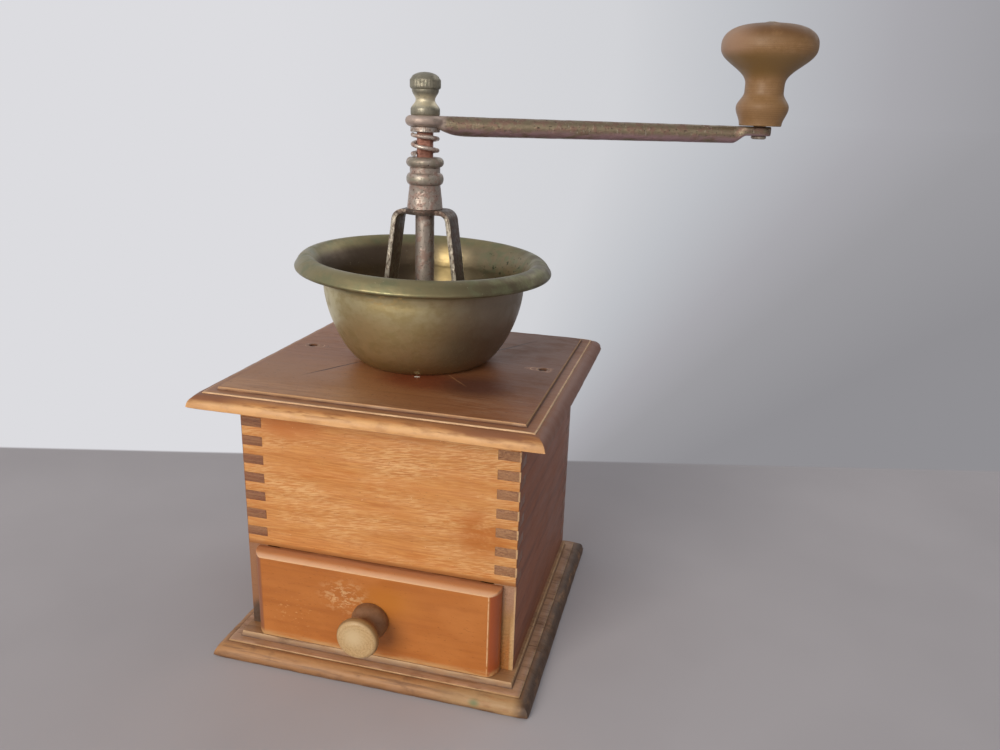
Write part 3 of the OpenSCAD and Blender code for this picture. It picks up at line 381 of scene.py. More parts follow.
# Darker right end: grime, and painted shade where the board faces away from the window.
right = both_masks(tree, zone(tree, "X", 63.0, 69.0), marks(tree, "Y", 14.0, 5.0, 0.12, 0.55, shift=2.2))
foot = both_masks(tree, zone(tree, "Z", 2.2, 0.2), marks(tree, "X", 12.0, 3.0, 0.3, 0.6, shift=5.1))
dot = spot(tree, (48, BASE_FRONT, 3.0), (3.4, 3.0, 2.4), 0.9)
pale_end = both_masks(tree, zone(tree, "X", 18.0, 50.0), zone(tree, "Y", -69.5, -71.0),
                      marks(tree, "X", 10.0, 3.0, 0.25, 0.55, shift=5.6))
coat(tree, shader, "#a87849", [
    (bands, "#946743"), (edge_mask, moulding), (streak, "#87603f"), (caked, "#6d4c35"), (pale_end, "#b18d62"),
    (right, "#4d3726"), (foot, "#6a4a33"), (dot, "#74794f")])
relief(tree, shader, [
    (fine, 0.05), (streak, -0.05), (grime, 0.04), (marks(tree, "X", 5.0, 4.0, shift=3.0), 0.25)])
sheen_range(tree, shader, grime, 0.5, 0.72)
base = moulded("base_board_worn", BASE_HALF, BASE_FRONT, BASE_BACK, 0.0, edge_outline(BASE_T, BASE_STEP),
               None, base_wood, 1)


def by_rule(name, material, sizes, lay_out):
    """A piece made by Geometry Nodes: named sizes go in, a rule lays it out, and the result is baked."""
    nodes = bpy.data.node_groups.new(name, "GeometryNodeTree")
    nodes.interface.new_socket("Geometry", in_out="OUTPUT", socket_type="NodeSocketGeometry")
    kinds = {int: "NodeSocketInt", float: "NodeSocketFloat", Vector: "NodeSocketVector"}
    keys = {label: nodes.interface.new_socket(label, in_out="INPUT", socket_type=kinds[type(size)]).identifier
            for label, size in sizes.items()}
    laid = lay_out(nodes, add(nodes, "NodeGroupInput").node.outputs)
    real = add(nodes, "GeometryNodeRealizeInstances", {0: laid})
    done = add(nodes, "GeometryNodeSetMaterial", {0: real, "Material": material})
    nodes.links.new(done, nodes.nodes.new("NodeGroupOutput").inputs[0])
    made = bpy.data.objects.new(name, bpy.data.meshes.new(name))
    scene.collection.objects.link(made)
    rule = made.modifiers.new("rule", "NODES")
    rule.node_group = nodes
    for label, size in sizes.items():
        rule[keys[label]] = size
    bake(made)
    made.data.shade_smooth()
    made.data.set_sharp_from_angle(angle=math.radians(38))
    return made


def in_rows(name, template, material, counts, pitch, first):
    """Copies of a template in rows along X and Y from a first place, in millimetres."""
    def lay_out(nodes, sizes):
        across = add(nodes, "GeometryNodeMeshLine", {
            "Count": sizes["Count X"], "Start Location": sizes["First"],
            "Offset": add(nodes, "ShaderNodeCombineXYZ", {"X": sizes["Pitch X"]})})
        back = add(nodes, "GeometryNodeMeshLine", {
            "Count": sizes["Count Y"], "Offset": add(nodes, "ShaderNodeCombineXYZ", {"Y": sizes["Pitch Y"]})})
        grid = add(nodes, "GeometryNodeInstanceOnPoints", {"Points": across, "Instance": back})
        shape = add(nodes, "GeometryNodeObjectInfo", {"Object": template}, out="Geometry")
        return add(nodes, "GeometryNodeInstanceOnPoints", {
            "Points": add(nodes, "GeometryNodeRealizeInstances", {0: grid}), "Instance": shape})
    made = by_rule(name, material, {
        "Count X": counts[0], "Count Y": counts[1], "Pitch X": pitch[0] / 1000, "Pitch Y": pitch[1] / 1000,
        "First": Vector(first) / 1000}, lay_out)
    bpy.data.objects.remove(template)
    return made


# Screws from below and nails from above go into the middle of the side boards' thickness.
SIDE_MID, SCREW_Y = 55.35, 40.0
SCREW_ROWS = ((2, 2), (2 * SIDE_MID, 2 * SCREW_Y), (-SIDE_MID, -SCREW_Y, 0.0))
countersink = turned("countersink", [
    (0, -1), (3.6, -1), (3.6, 0), (1.75, 1.85), (1.75, 9.8), (0, 9.8)], base_wood, 32)
carve(base, in_rows("countersinks", countersink, base_wood, *SCREW_ROWS))
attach(base, "root")
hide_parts("base_board")

# Base screws
# Four countersunk iron screws that hold the base to the side boards from below.
# Their slotted heads lie flush and have gone dark.


def block(name, low, high, material):
    """A plain box between two corners in millimetres, for cutting with."""
    points = [(x, y, z) for x in (low[0], high[0]) for y in (low[1], high[1]) for z in (low[2], high[2])]
    sides = [(0, 1, 3, 2), (4, 6, 7, 5), (0, 4, 5, 1), (2, 3, 7, 6), (0, 2, 6, 4), (1, 5, 7, 3)]
    return piece(name, points, sides, material)


# Dark oxide on iron: nearly black and dull, brown where it rusts, a little bright where it rubs.
dark_iron, tree, shader = surface("dark_oxidised_iron", Metallic=0.75)
rust = marks(tree, "X", 2.2, 2.0, 0.48, 0.66, shift=1.0)
rubbed = marks(tree, "Z", 1.2, 0.5, 0.58, 0.72, shift=2.0)
coat(tree, shader, "#4a443f", [(rust, "#5b4033"), (rubbed, "#7d766d")])
relief(tree, shader, [(rust, 0.05), (marks(tree, "X", 0.7, 0.7), 0.03)])
sheen_range(tree, shader, rust, 0.42, 0.75)
screw = turned("base_screw", [
    (0, 0), (3.3, 0), (3.48, 0.15), (1.68, 1.8), (1.68, 24), (0.2, 26), (0, 26)], dark_iron, 32)
carve(screw, block("slot", (-4, -0.45, -1), (4, 0.45, 0.9), dark_iron))
screws = in_rows("base_screws_slotted", screw, dark_iron, *SCREW_ROWS)
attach(screws, "root")
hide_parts("base_screws")

# Side boards
# Full height beech boards, stained red brown, with fingers sawn into both ends.
# Their end grain shows in the front corners, dark in the joints and rubbed pale beside the drawer.


def softened(node, name, material, width=0.0, smooth=35.0):
    """A copy of a solid with its corners eased by a width in millimetres, as hands and years do."""
    mesh = cad[node].data.copy()
    work = bmesh.new()
    work.from_mesh(mesh)
    bmesh.ops.remove_doubles(work, verts=work.verts, dist=2e-6)
    bmesh.ops.dissolve_limit(work, angle_limit=math.radians(0.8), verts=work.verts, edges=work.edges)
    work.to_mesh(mesh)
    work.free()
    mesh.materials.clear()
    mesh.materials.append(material)
    made = bpy.data.objects.new(name, mesh)
    scene.collection.objects.link(made)
    if width:
        ease = made.modifiers.new("ease", "BEVEL")
        ease.width, ease.segments, ease.limit_method = width / 1000, 2, "ANGLE"
        ease.angle_limit = math.radians(40)
        bake(made)
    made.data.shade_smooth()
    made.data.set_sharp_from_angle(angle=math.radians(smooth))
    return made


# Masks for the front and back faces of the case rise over these places along Y.
FRONT, BACK = (-57.6, -57.8), (57.6, 57.8)
# Stained and shellacked beech: long fine grain, small dark flecks, worn pale on the corners.
side_wood, tree, shader = surface("red_stained_beech", Coat_Weight=0.05, Coat_Roughness=0.35)
bands = marks(tree, "Y", 95.0, 3.2, 0.42, 0.66, shift=6.0)
fine = marks(tree, "Y", 24.0, 0.5, shift=6.4, detail=5.0)
cloud = marks(tree, "Y", 46.0, 21.0, 0.35, 0.68, shift=7.0)
clouded = both_masks(tree, cloud, marks(tree, "Y", 12.0, 1.4, 0.42, 0.62, shift=5.0))
flecks = marks(tree, "Y", 3.0, 0.35, 0.6, 0.7, shift=4.0)
end_front, end_back = zone(tree, "Y", *FRONT), zone(tree, "Y", *BACK)
pores = both_masks(tree, end_front, marks(tree, "X", 1.3, 0.55, 0.4, 0.62, shift=8.0))
dark_pores = both_masks(tree, pores, marks(tree, "X", 9.0, 3.0, 0.3, 0.7, shift=8.3))
ring = both_masks(tree, end_front, marks(tree, "X", 30.0, 1.1, 0.4, 0.66, shift=8.6))
on_right = zone(tree, "X", 40.0, 50.0)
right_ends = both_masks(tree, end_front, on_right)
post = both_masks(tree, end_front, zone(tree, "Z", 50.0, 47.5))
right_post = both_masks(tree, post, on_right)
rubbed = both_masks(tree, right_post, marks(tree, "Z", 16.0, 2.2, 0.34, 0.56, shift=9.0))
post_high = both_masks(tree, right_post, zone(tree, "Z", 32.0, 42.0),
                       marks(tree, "Z", 9.0, 2.0, 0.2, 0.5, shift=9.2))
post_low = both_masks(tree, right_post, zone(tree, "Z", 29.0, 19.0),
                      marks(tree, "Z", 12.0, 1.6, 0.25, 0.55, shift=9.3))
bare_edge = both_masks(tree, right_post, zone(tree, "X", 57.8, 59.0), zone(tree, "Z", 40.0, 24.0),
                       marks(tree, "Z", 18.0, 3.0, 0.34, 0.5, shift=9.4))
foot = both_masks(tree, post, spot(tree, (-56, -58, 12), (7, 6, 11)))
arris = both_masks(tree, zone(tree, "X", 59.1, 59.7), zone(tree, "Y", -57.2, -57.6),
                   marks(tree, "Z", 9.0, 2.0, 0.32, 0.5, shift=9.7))
coat(tree, shader, "#8d5030", [
    (bands, "#774229"), (clouded, "#93583c"), (flecks, "#4e2a1d"), (end_front, "#8f5d40"),
    (end_back, "#7b4d35"), (right_ends, "#ae815b"), (dark_pores, "#7a4f39"), (ring, "#a0724f"),
    (post, "#9f704f"), (right_post, "#9a6a42"), (rubbed, "#b08250"), (post_high, "#b0866a"),
    (post_low, "#b4763c"), (bare_edge, "#d6ae7a"), (foot, "#5e4a3c"), (arris, "#d8b083")])
relief(tree, shader, [(fine, 0.05), (bands, -0.04), (pores, -0.12)])
sheen_range(tree, shader, cloud, 0.45, 0.6)
for side in ("left", "right"):
    board = softened(side + "_side_board", side + "_side_board_worn", side_wood, 0.2)
    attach(board, "root")
    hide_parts(side + "_side_board")

# Front and back boards
# Beech boards finger jointed between the sides, the front one ending above the drawer.
# Their orange shellac is brushed thin: scouring has left pale strokes across the grain.

# Thin shellac on beech: a warm amber gloss over fine grain, broken by pale dull strokes.
amber_wood, tree, shader = surface("scoured_shellac_on_beech", Coat_Weight=0.1, Coat_Roughness=0.3)
bands = marks(tree, "X", 120.0, 3.6, 0.4, 0.68, shift=11.0)
fine = marks(tree, "X", 30.0, 0.55, shift=11.5, detail=5.0)
patch = marks(tree, "X", 34.0, 12.0, 0.36, 0.66, shift=12.0)
slant = (0.0, math.radians(-9), 0.0)
scoured = both_masks(tree, patch, marks(tree, "X", 5.0, 0.55, 0.38, 0.66, shift=12.6, tilt=slant, detail=6.0))
level_strokes = marks(tree, "X", 12.0, 0.7, 0.4, 0.66, shift=13.4, detail=6.0)
deep = both_masks(tree, marks(tree, "X", 60.0, 13.0, 0.46, 0.64, shift=14.2),
                  marks(tree, "X", 22.0, 2.0, 0.3, 0.6, shift=14.8))
flecks = marks(tree, "X", 2.6, 0.4, 0.62, 0.72, shift=15.5)
dots = marks(tree, "X", 1.2, 0.8, 0.7, 0.76, shift=16.0)
low_right = both_masks(tree, spot(tree, (45, -58, 70), (16, 30, 15), 0.8),
                       marks(tree, "X", 9.0, 5.0, 0.3, 0.55, shift=2.4))
high_left = both_masks(tree, spot(tree, (-40, -58, 108), (24, 30, 13), 0.8),
                       marks(tree, "X", 14.0, 4.0, 0.25, 0.5, shift=2.9))
# Painted shade under the top board's overhang, darker towards the top and broken by grain marks.
shade_under_top = both_masks(tree, zone(tree, "Z", 109.0, 115.5), marks(tree, "X", 14.0, 3.0, 0.28, 0.6, shift=3.3))
on_face = zone(tree, "Y", *FRONT)
# A dark line just under the top board's edge on the left of the front: a joint line and painted shadow.
gap_shadow = both_masks(tree, zone(tree, "Z", 114.6, 115.4), zone(tree, "X", -6.0, -18.0), on_face)
# Painted shade along the bottom edge of the front, over the drawer.
low_edge_shade = both_masks(tree, zone(tree, "Z", 51.2, 49.4), on_face)
ends = add(tree, "ShaderNodeMath", {0: zone(tree, "X", 59.6, 59.8), 1: zone(tree, "X", -59.6, -59.8)},
           operation="ADD")
coat(tree, shader, "#cd8849", [
    (bands, "#bf7a3e"), (deep, "#c47834"), (level_strokes, "#d69755"), (scoured, "#e4b379"),
    (flecks, "#98592a"), (low_right, "#bd7230"), (high_left, "#c4793c"), (shade_under_top, "#b97a42"),
    (gap_shadow, "#5a381f"), (low_edge_shade, "#ad7240"), (dots, "#efd2ab"), (ends, "#7d4c31")])
relief(tree, shader, [(fine, 0.05), (bands, -0.05), (scoured, -0.04)])
sheen_range(tree, shader, patch, 0.34, 0.52)
for side in ("front", "back"):
    board = softened(side + "_board", side + "_board_worn", amber_wood, 0.2)
    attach(board, "root")
    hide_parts(side + "_board")

# Top board
# A moulded beech board nailed down on the sides, with the bean hole through its middle.
# Its red shellac is still deep and glossy round the bowl, dulled on the field and rubbed off the arrises.
TOP_HALF, TOP_FRONT, TOP_BACK, TOP_LOW, TOP_T, TOP_STEP = 72.7, -77.0, 68.2, 116.0, 7.2, 1.3
BEAN_HOLE, DECK = 17.0, TOP_LOW + TOP_T


def crack(tree, start, end, width, shift):
    """A thin broken line across the deck from start to end, with its width in millimetres."""
    way = Vector(end) - Vector(start)
    along = add(tree, "ShaderNodeMapping", {
        "Vector": add(tree, "ShaderNodeTexCoord", out="Object"), "Location": Vector(start + (0.0,)) / 1000,
        "Rotation": (0.0, 0.0, math.atan2(way.y, way.x)), "Scale": (way.length / 1000, width / 1000, 1.0)},
        vector_type="TEXTURE")
    bend = add(tree, "ShaderNodeTexNoise", {"Vector": along, "Scale": 3.0, "W": shift}, noise_dimensions="4D")
    split = add(tree, "ShaderNodeSeparateXYZ", {0: along}).node.outputs
    off = add(tree, "ShaderNodeMath", {0: bend, 1: -3.0, 2: split["Y"]}, operation="MULTIPLY_ADD")
    off = add(tree, "ShaderNodeMath", {0: off, 1: 1.5}, operation="ADD")
    off = add(tree, "ShaderNodeMath", {0: off}, operation="ABSOLUTE")
    here = add(tree, "ShaderNodeMapRange", {"Value": off, "From Min": 1.0, "From Max": 0.3})
    begin = add(tree, "ShaderNodeMapRange", {"Value": split["X"], "From Min": 0.0, "From Max": 0.1})
    stop = add(tree, "ShaderNodeMapRange", {"Value": split["X"], "From Min": 1.0, "From Max": 0.6})
    return both_masks(tree, here, begin, stop)


# Red shellac on beech: low gloss over dark grain, duller and paler on the field, gold on the bare arrises.
# Light and shade are painted too: on the round edges, on the deck by the bowl and at the deck's front left.
top_wood, tree, shader = surface("red_shellac_on_beech", Specular_IOR_Level=0.35, Coat_Weight=0.05,
                                 Coat_Roughness=0.3)
inset = add(tree, "ShaderNodeAttribute", out="Fac", attribute_name="inset")
# Round edge: the gold low down is bare wood and painted light, the dark brown higher up is painted shade.
moulding, edge_mask = edge_tones(tree, inset, marks(tree, "X", 8.0, 3.0, 0.26, 0.6, shift=20.0), 0.55, [
    (0.0, "#dca66c", 0.95), (1.0, "#84492c", 0.0), (0.06, "#e6b47a", 0.95), (0.14, "#c2864e", 0.95),
    (0.26, "#a06c43", 0.9), (0.335, "#865636", 0.9), (0.348, "#6a4028", 0.95), (0.357, "#f0cda4", 0.95),
    (0.382, "#e6bd92", 0.95), (0.398, "#a27152", 0.7), (0.61, "#95664a", 0.8), (0.652, "#4d2f20", 0.95),
    (0.666, "#66402a", 0.95), (0.671, "#dcb283", 0.95), (0.688, "#a27248", 0.5), (0.72, "#8a5030", 0.0)])
bands = marks(tree, "X", 120.0, 4.0, 0.42, 0.68, shift=21.0)
fine = marks(tree, "X", 28.0, 0.55, shift=21.5, detail=5.0)
flecks = marks(tree, "X", 2.6, 0.4, 0.6, 0.7, shift=24.0)
dust = marks(tree, "X", 0.9, 0.8, 0.72, 0.77, shift=25.0)
dull = marks(tree, "X", 50.0, 24.0, 0.36, 0.66, shift=22.0)
dulled = both_masks(tree, dull, marks(tree, "X", 13.0, 1.5, 0.4, 0.62, shift=23.0))
# Painted shade on the deck: over its right half, growing towards the back, and a patch right of the bowl's
# front.
darker = both_masks(tree, zone(tree, "X", 5.0, 50.0), zone(tree, "Y", -70.0, -20.0))
# Painted reflection of the bright wall: the deck is paler towards its front left.
paler = both_masks(tree, zone(tree, "X", 16.0, -30.0), zone(tree, "Y", 10.0, -50.0))
on_deck = zone(tree, "Z", DECK - 0.2, DECK - 0.05)
red = both_masks(tree, spot(tree, (11, -33, DECK), (27, 17, 8), 0.7), on_deck)
shaded = both_masks(tree, spot(tree, (34, -33, DECK), (23, 19, 8), 0.8), on_deck)
front_left = both_masks(tree, zone(tree, "Y", -48.0, -60.0), zone(tree, "X", 6.0, -16.0),
                        marks(tree, "X", 26.0, 3.0, 0.3, 0.6, shift=29.6))
on_round = add(tree, "ShaderNodeMapRange", {"Value": inset, "From Min": 4.95, "From Max": 4.85})
stains = both_masks(tree, add(tree, "ShaderNodeMapRange", {"Value": inset, "From Min": 4.6, "From Max": 2.2}),
                    add(tree, "ShaderNodeMapRange", {"Value": inset, "From Min": 0.2, "From Max": 1.2}),
                    marks(tree, "X", 24.0, 3.2, 0.5, 0.62, shift=28.0))
both_ends = add(tree, "ShaderNodeMath", {0: zone(tree, "X", -44.0, -60.0), 1: zone(tree, "X", 28.0, 52.0)},
                operation="ADD")
end_shade = both_masks(tree, on_round, both_ends, marks(tree, "X", 16.0, 4.0, 0.2, 0.5, shift=29.0),
                       add(tree, "ShaderNodeMapRange", {"Value": inset, "From Min": 0.4, "From Max": 1.6}))
# Painted shade on the round edge where it faces right, away from the window.
outward = add(tree, "ShaderNodeSeparateXYZ", {0: add(tree, "ShaderNodeNewGeometry", out="Normal")}, out="X")
right_round_shade = both_masks(tree, on_round, add(
    tree, "ShaderNodeMapRange", {"Value": outward, "From Min": 0.12, "From Max": 0.4}))
dents = [spot(tree, (x, 0.0, DECK), (4.2, 3.4, 4.0), 0.7) for x in (-SIDE_MID, SIDE_MID)]
cracks = [crack(tree, (-24.0, -17.0), (-40.0, -45.0), 0.5, 1.0),
          crack(tree, (26.0, 17.0), (44.0, 47.0), 0.5, 2.0),
          crack(tree, (18.0, -21.0), (31.0, -35.0), 0.35, 3.0)]
crumb = spot(tree, (7.0, -28.9, DECK), (1.5, 1.0, 2.0), 0.3)
coat(tree, shader, "#9a6440", [
    (bands, "#8b5735"), (dulled, "#a97b5c"), (darker, "#724629"), (paler, "#a67650"), (red, "#82452b"),
    (shaded, "#613a2a"), (front_left, "#bb8a62"), (flecks, "#54301f"), (edge_mask, moulding),
    (stains, "#986338"), (end_shade, "#8c5c3e"), (right_round_shade, "#845845"), (dents[0], "#5b3a26"),
    (dents[1], "#664d40"), (cracks[0], "#3a2418"), (cracks[1], "#3a2418"), (cracks[2], "#a97c56"),
    (crumb, "#f8f3ec"), (dust, "#e2c7a6")])
relief(tree, shader, [(fine, 0.05), (bands, -0.04), (cracks[0], -0.3), (cracks[1], -0.3),
                      (marks(tree, "X", 7.0, 5.0, shift=26.0), 0.2)])
sheen_range(tree, shader, both_masks(tree, dull, marks(tree, "X", 9.0, 6.0, 0.3, 0.7, shift=27.0)), 0.42, 0.6)
top = moulded("top_board_worn", TOP_HALF, TOP_FRONT, TOP_BACK, TOP_LOW, edge_outline(TOP_T, TOP_STEP),
              BEAN_HOLE, top_wood, 2)
NAIL_ROW = ((2, 1), (2 * SIDE_MID, 0.0), (-SIDE_MID, 0.0, DECK))
punched = turned("nail_hole", [(0, -2), (1.8, -2), (1.8, -0.3), (3.0, 0.3), (3.0, 1), (0, 1)], top_wood, 32)
carve(top, in_rows("nail_holes", punched, top_wood, *NAIL_ROW))
top.data.set_sharp_from_angle(angle=math.radians(22))
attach(top, "root")
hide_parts("top_board")

# Top nails
# Two cut iron nails through the top board into the side boards.
# Their heads are punched just under its surface and have gone dark.
nail = turned("top_nail", [
    (0, -22), (0.25, -22), (0.88, -19), (0.88, -1.6), (1.6, -1.6), (1.6, -0.85), (1.3, -0.7), (0, -0.65)],
    dark_iron, 24)
nails = in_rows("top_nails_punched", nail, dark_iron, *NAIL_ROW)
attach(nails, "root")
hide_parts("top_nails")

# Hopper bowl
# Spun from sheet brass with a flat floor and a flared rim rolled to a lip, and bolted down under the yoke.
# The brass has gone olive brown, with verdigris in its shade; its gold gleams are painted reflections,
# and its right side is painted darker as shade.
BOWL_T, BOWL_FLOOR_R, BOWL_WALL_R, BOWL_WALL_H, BOWL_H, FULL = 1.2, 27.0, 44.0, 33.0, 46.9, 1.3
RIM_OUT, RIM_TURN, RIM_SLOPE, RIM_RUN, LIP_R, LIP_CURL, FLARE_FULL = 56.0, 5.4, 32.0, 2.2, 1.2, 60.0, 1.2
LEAN = Vector((0.030, -0.020))
SPUN = 0.625


def wall(radius, low, high, steps=28):
    """Points up the bowl's wall, level at the floor and upright at the top."""
    made = []
    for i in range(steps + 1):
        a = math.radians(90 * i / steps)
        made.append((BOWL_FLOOR_R + (radius - BOWL_FLOOR_R) * math.sin(a) ** FULL,
                     low + (high - low) * (1 - max(math.cos(a), 0.0) ** FULL)))
    return made


def arc(centre, rx, rz, start, end, steps, full=1.0):
    """Points of an arc about a centre between two angles in degrees; full above 1 draws it flatter."""
    made = []
    for i in range(steps + 1):
        a = math.radians(start + (end - start) * i / steps)
        out, up = (math.copysign(abs(way) ** full, way) for way in (math.cos(a), math.sin(a)))
        made.append((centre[0] + rx * out, centre[1] + rz * up))
    return made


# Tarnished brass: a soft satin glow, brown blotches, faint rings from spinning and green in the hollows.
bowl_brass, tree, shader = surface("tarnished_spun_brass", Metallic=0.8)
blotch = marks(tree, "X", 9.0, 7.0, 0.4, 0.68, shift=30.0)
speck = marks(tree, "X", 1.4, 1.2, 0.68, 0.76, shift=31.0)
at = add(tree, "ShaderNodeTexCoord", out="Object")
height = add(tree, "ShaderNodeSeparateXYZ", {0: at}, out="Z")
up_wall = add(tree, "ShaderNodeMath", {0: height, 1: 1000 / SPUN}, operation="MULTIPLY")
spun = add(tree, "ShaderNodeTexNoise", {"W": up_wall, "Detail": 3.0}, noise_dimensions="1D")
sideways = add(tree, "ShaderNodeVectorMath", {0: at, 1: (1.0, 1.0, 0.0)}, operation="MULTIPLY")
outward = add(tree, "ShaderNodeVectorMath", {0: sideways}, operation="NORMALIZE")
facing = add(tree, "ShaderNodeVectorMath", {0: outward, 1: add(tree, "ShaderNodeNewGeometry", out="Normal")},
             out="Value", operation="DOT_PRODUCT")
inward = add(tree, "ShaderNodeMapRange", {"Value": facing, "From Min": -0.15, "From Max": -0.75},
             interpolation_type="SMOOTHSTEP")
inner = both_masks(tree, inward, zone(tree, "Z", 169.5, 166.0))
# Painted shade on the left of the inside, where the wall faces away from the window.
inner_left_shade = both_masks(tree, inner, zone(tree, "X", 0.0, -28.0))
rim = zone(tree, "Z", 158.5, 160.5)
# Painted shade on the right of the rim.
rim_right_shade = both_masks(tree, rim, zone(tree, "X", 16.0, 48.0))
green = both_masks(tree, rim, marks(tree, "X", 8.0, 6.0, 0.42, 0.68, shift=33.0))
shade_green = both_masks(tree, inner, zone(tree, "X", 4.0, 24.0),
                         marks(tree, "X", 5.0, 4.0, 0.45, 0.62, shift=34.0))
# Painted reflection: a gold gleam on the far inside wall, just behind the shaft.
scoured = both_masks(tree, inner, spot(tree, (-4, 41, 156), (7, 14, 26), 0.8))
# Painted highlights: small gold gleams on the wall just under the lip, at the front.
flecks = both_masks(tree, zone(tree, "Y", -30.0, -36.0), zone(tree, "X", -12.0, -6.0),
                    zone(tree, "X", 12.0, 4.0), zone(tree, "Z", 154.0, 157.0), zone(tree, "Z", 161.5, 160.5),
                    marks(tree, "X", 4.0, 2.0, 0.48, 0.7, shift=37.0))
pits = both_masks(tree, inner, zone(tree, "X", 10.0, 26.0), marks(tree, "X", 2.4, 2.0, 0.6, 0.66, shift=35.0))
# The zone from 8 to 38 mm along X paints the right of the bowl darker as shade.
coat(tree, shader, "#c4b88e", [
    (blotch, "#ad9d70"), (zone(tree, "Z", 136.0, 124.0), "#9f8b5c"), (zone(tree, "X", 8.0, 38.0), "#877866"),
    (rim, "#8c8260"), (rim_right_shade, "#6b634d"), (green, "#7d7c5d"), (inner, "#8a7d62"), (inner_left_shade, "#655748"),
    (shade_green, "#7d7d60"), (scoured, "#bda877"), (pits, "#3b4432"), (speck, "#b3a888"),
    (flecks, "#c4ab74")])
relief(tree, shader, [(spun, 0.02), (blotch, 0.03), (marks(tree, "X", 14.0, 11.0, shift=36.0), 0.35)])
sheen_range(tree, shader, blotch, 0.36, 0.52)
crest = DECK + BOWL_H
slope = math.radians(RIM_SLOPE)
run_out, run_down = RIM_RUN * math.sin(slope), RIM_RUN * math.cos(slope)
crest_r = RIM_OUT - LIP_R - (RIM_TURN - LIP_R) * math.cos(slope) - run_out
turn_at, flare_at = (crest_r, crest - RIM_TURN), (crest_r, DECK + BOWL_WALL_H)
lip_at = (RIM_OUT - LIP_R, turn_at[1] + (RIM_TURN - LIP_R) * math.sin(slope) - run_down)
flare_w, flare_h = crest_r - BOWL_WALL_R, crest - flare_at[1]
outline = [(BEAN_HOLE, DECK)] + wall(BOWL_WALL_R, DECK, DECK + BOWL_WALL_H)
outline += arc(flare_at, flare_w, flare_h - BOWL_T, 180, 90, 20, FLARE_FULL)[1:]
outline += arc(turn_at, RIM_TURN - BOWL_T, RIM_TURN - BOWL_T, 90, RIM_SLOPE, 10)[1:]
outline += arc(lip_at, LIP_R * 0.2, LIP_R * 0.2, RIM_SLOPE, -LIP_CURL, 6)[1:]
outline += arc(lip_at, LIP_R, LIP_R, -LIP_CURL, RIM_SLOPE, 10)
outline += arc(turn_at, RIM_TURN, RIM_TURN, RIM_SLOPE, 90, 12)[1:]
outline += arc(flare_at, flare_w + BOWL_T, flare_h, 90, 180, 24, FLARE_FULL)[1:]
outline += wall(BOWL_WALL_R - BOWL_T, DECK + BOWL_T, DECK + BOWL_WALL_H)[-2::-1]
outline.append((BEAN_HOLE, DECK + BOWL_T))
bowl = turned("hopper_bowl_spun", outline, bowl_brass, steps=192)
for point in bowl.data.vertices:
    share = (point.co.z * 1000 - DECK) / BOWL_H
    point.co.z -= share * LEAN.dot(point.co.xy)
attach(bowl, "root")
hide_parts("hopper_bowl")

# Ring burr
# A cast iron ring with ground teeth, in which the cone crushes the beans.
# It hangs under the top board on the yoke's own bolts.
ring_burr = softened("ring_burr", "ring_burr_cast", dark_iron)
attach(ring_burr, "root")
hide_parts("ring_burr")

# Yoke
# One strap of iron bent over the shaft, with a round boss for the bushing and feet turned out in the bowl.
# Its broad faces are dark, and its sheared edges have been rubbed bright.


def iron(name, rust_tone, bright_tone, metallic=0.7):
    """Old iron: brown with pinkish rust, dark pits and bright flecks where it rubs; returns its parts."""
    made, tree, shader = surface(name, Metallic=metallic)
    rust = marks(tree, "X", 3.4, 2.6, 0.44, 0.62, shift=40.0)
    pits = marks(tree, "X", 0.9, 0.8, 0.58, 0.7, shift=41.0)
    flecks = marks(tree, "Z", 2.2, 0.8, 0.6, 0.72, shift=42.0)
    layers = [(rust, rust_tone), (pits, "#3b322d"), (flecks, bright_tone)]
    relief(tree, shader, [(rust, 0.06), (pits, -0.08), (marks(tree, "X", 4.0, 3.0, shift=43.0), 0.2)])
    sheen_range(tree, shader, rust, 0.36, 0.6)
    return made, tree, shader, layers


# Dark strap iron: broad faces that are almost black, with a line of bare metal along the sheared edges.
strap_iron, tree, shader, layers = iron("dark_strap_iron", "#665248", "#8d857a")
edges = add(tree, "ShaderNodeMath", {0: zone(tree, "Y", 5.55, 5.8), 1: zone(tree, "Y", -5.55, -5.8)},
            operation="ADD")
bright = both_masks(tree, edges, zone(tree, "Z", 188.5, 186.5),
                    marks(tree, "Z", 3.0, 1.0, 0.36, 0.56, shift=44.0))
coat(tree, shader, "#5b5047", layers + [(bright, "#b0a99b")])
yoke = softened("yoke", "yoke_bent", strap_iron, 0.3)
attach(yoke, "root")
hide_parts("yoke")

# Yoke bolts and nuts
# Two round headed steel bolts through the yoke's feet, the bowl, the board and the ring burr.
# Square iron nuts draw them tight from below.
BOLT_X, FOOT_TOP, BOLT_END, BOLT_R, HEAD_R, HEAD_H = 24.1, 126.4, 109.0, 1.6, 2.35, 1.8
SLOT_LOW, SLOT_HALF, PAST = FOOT_TOP + 1.1, 0.3, 3.0
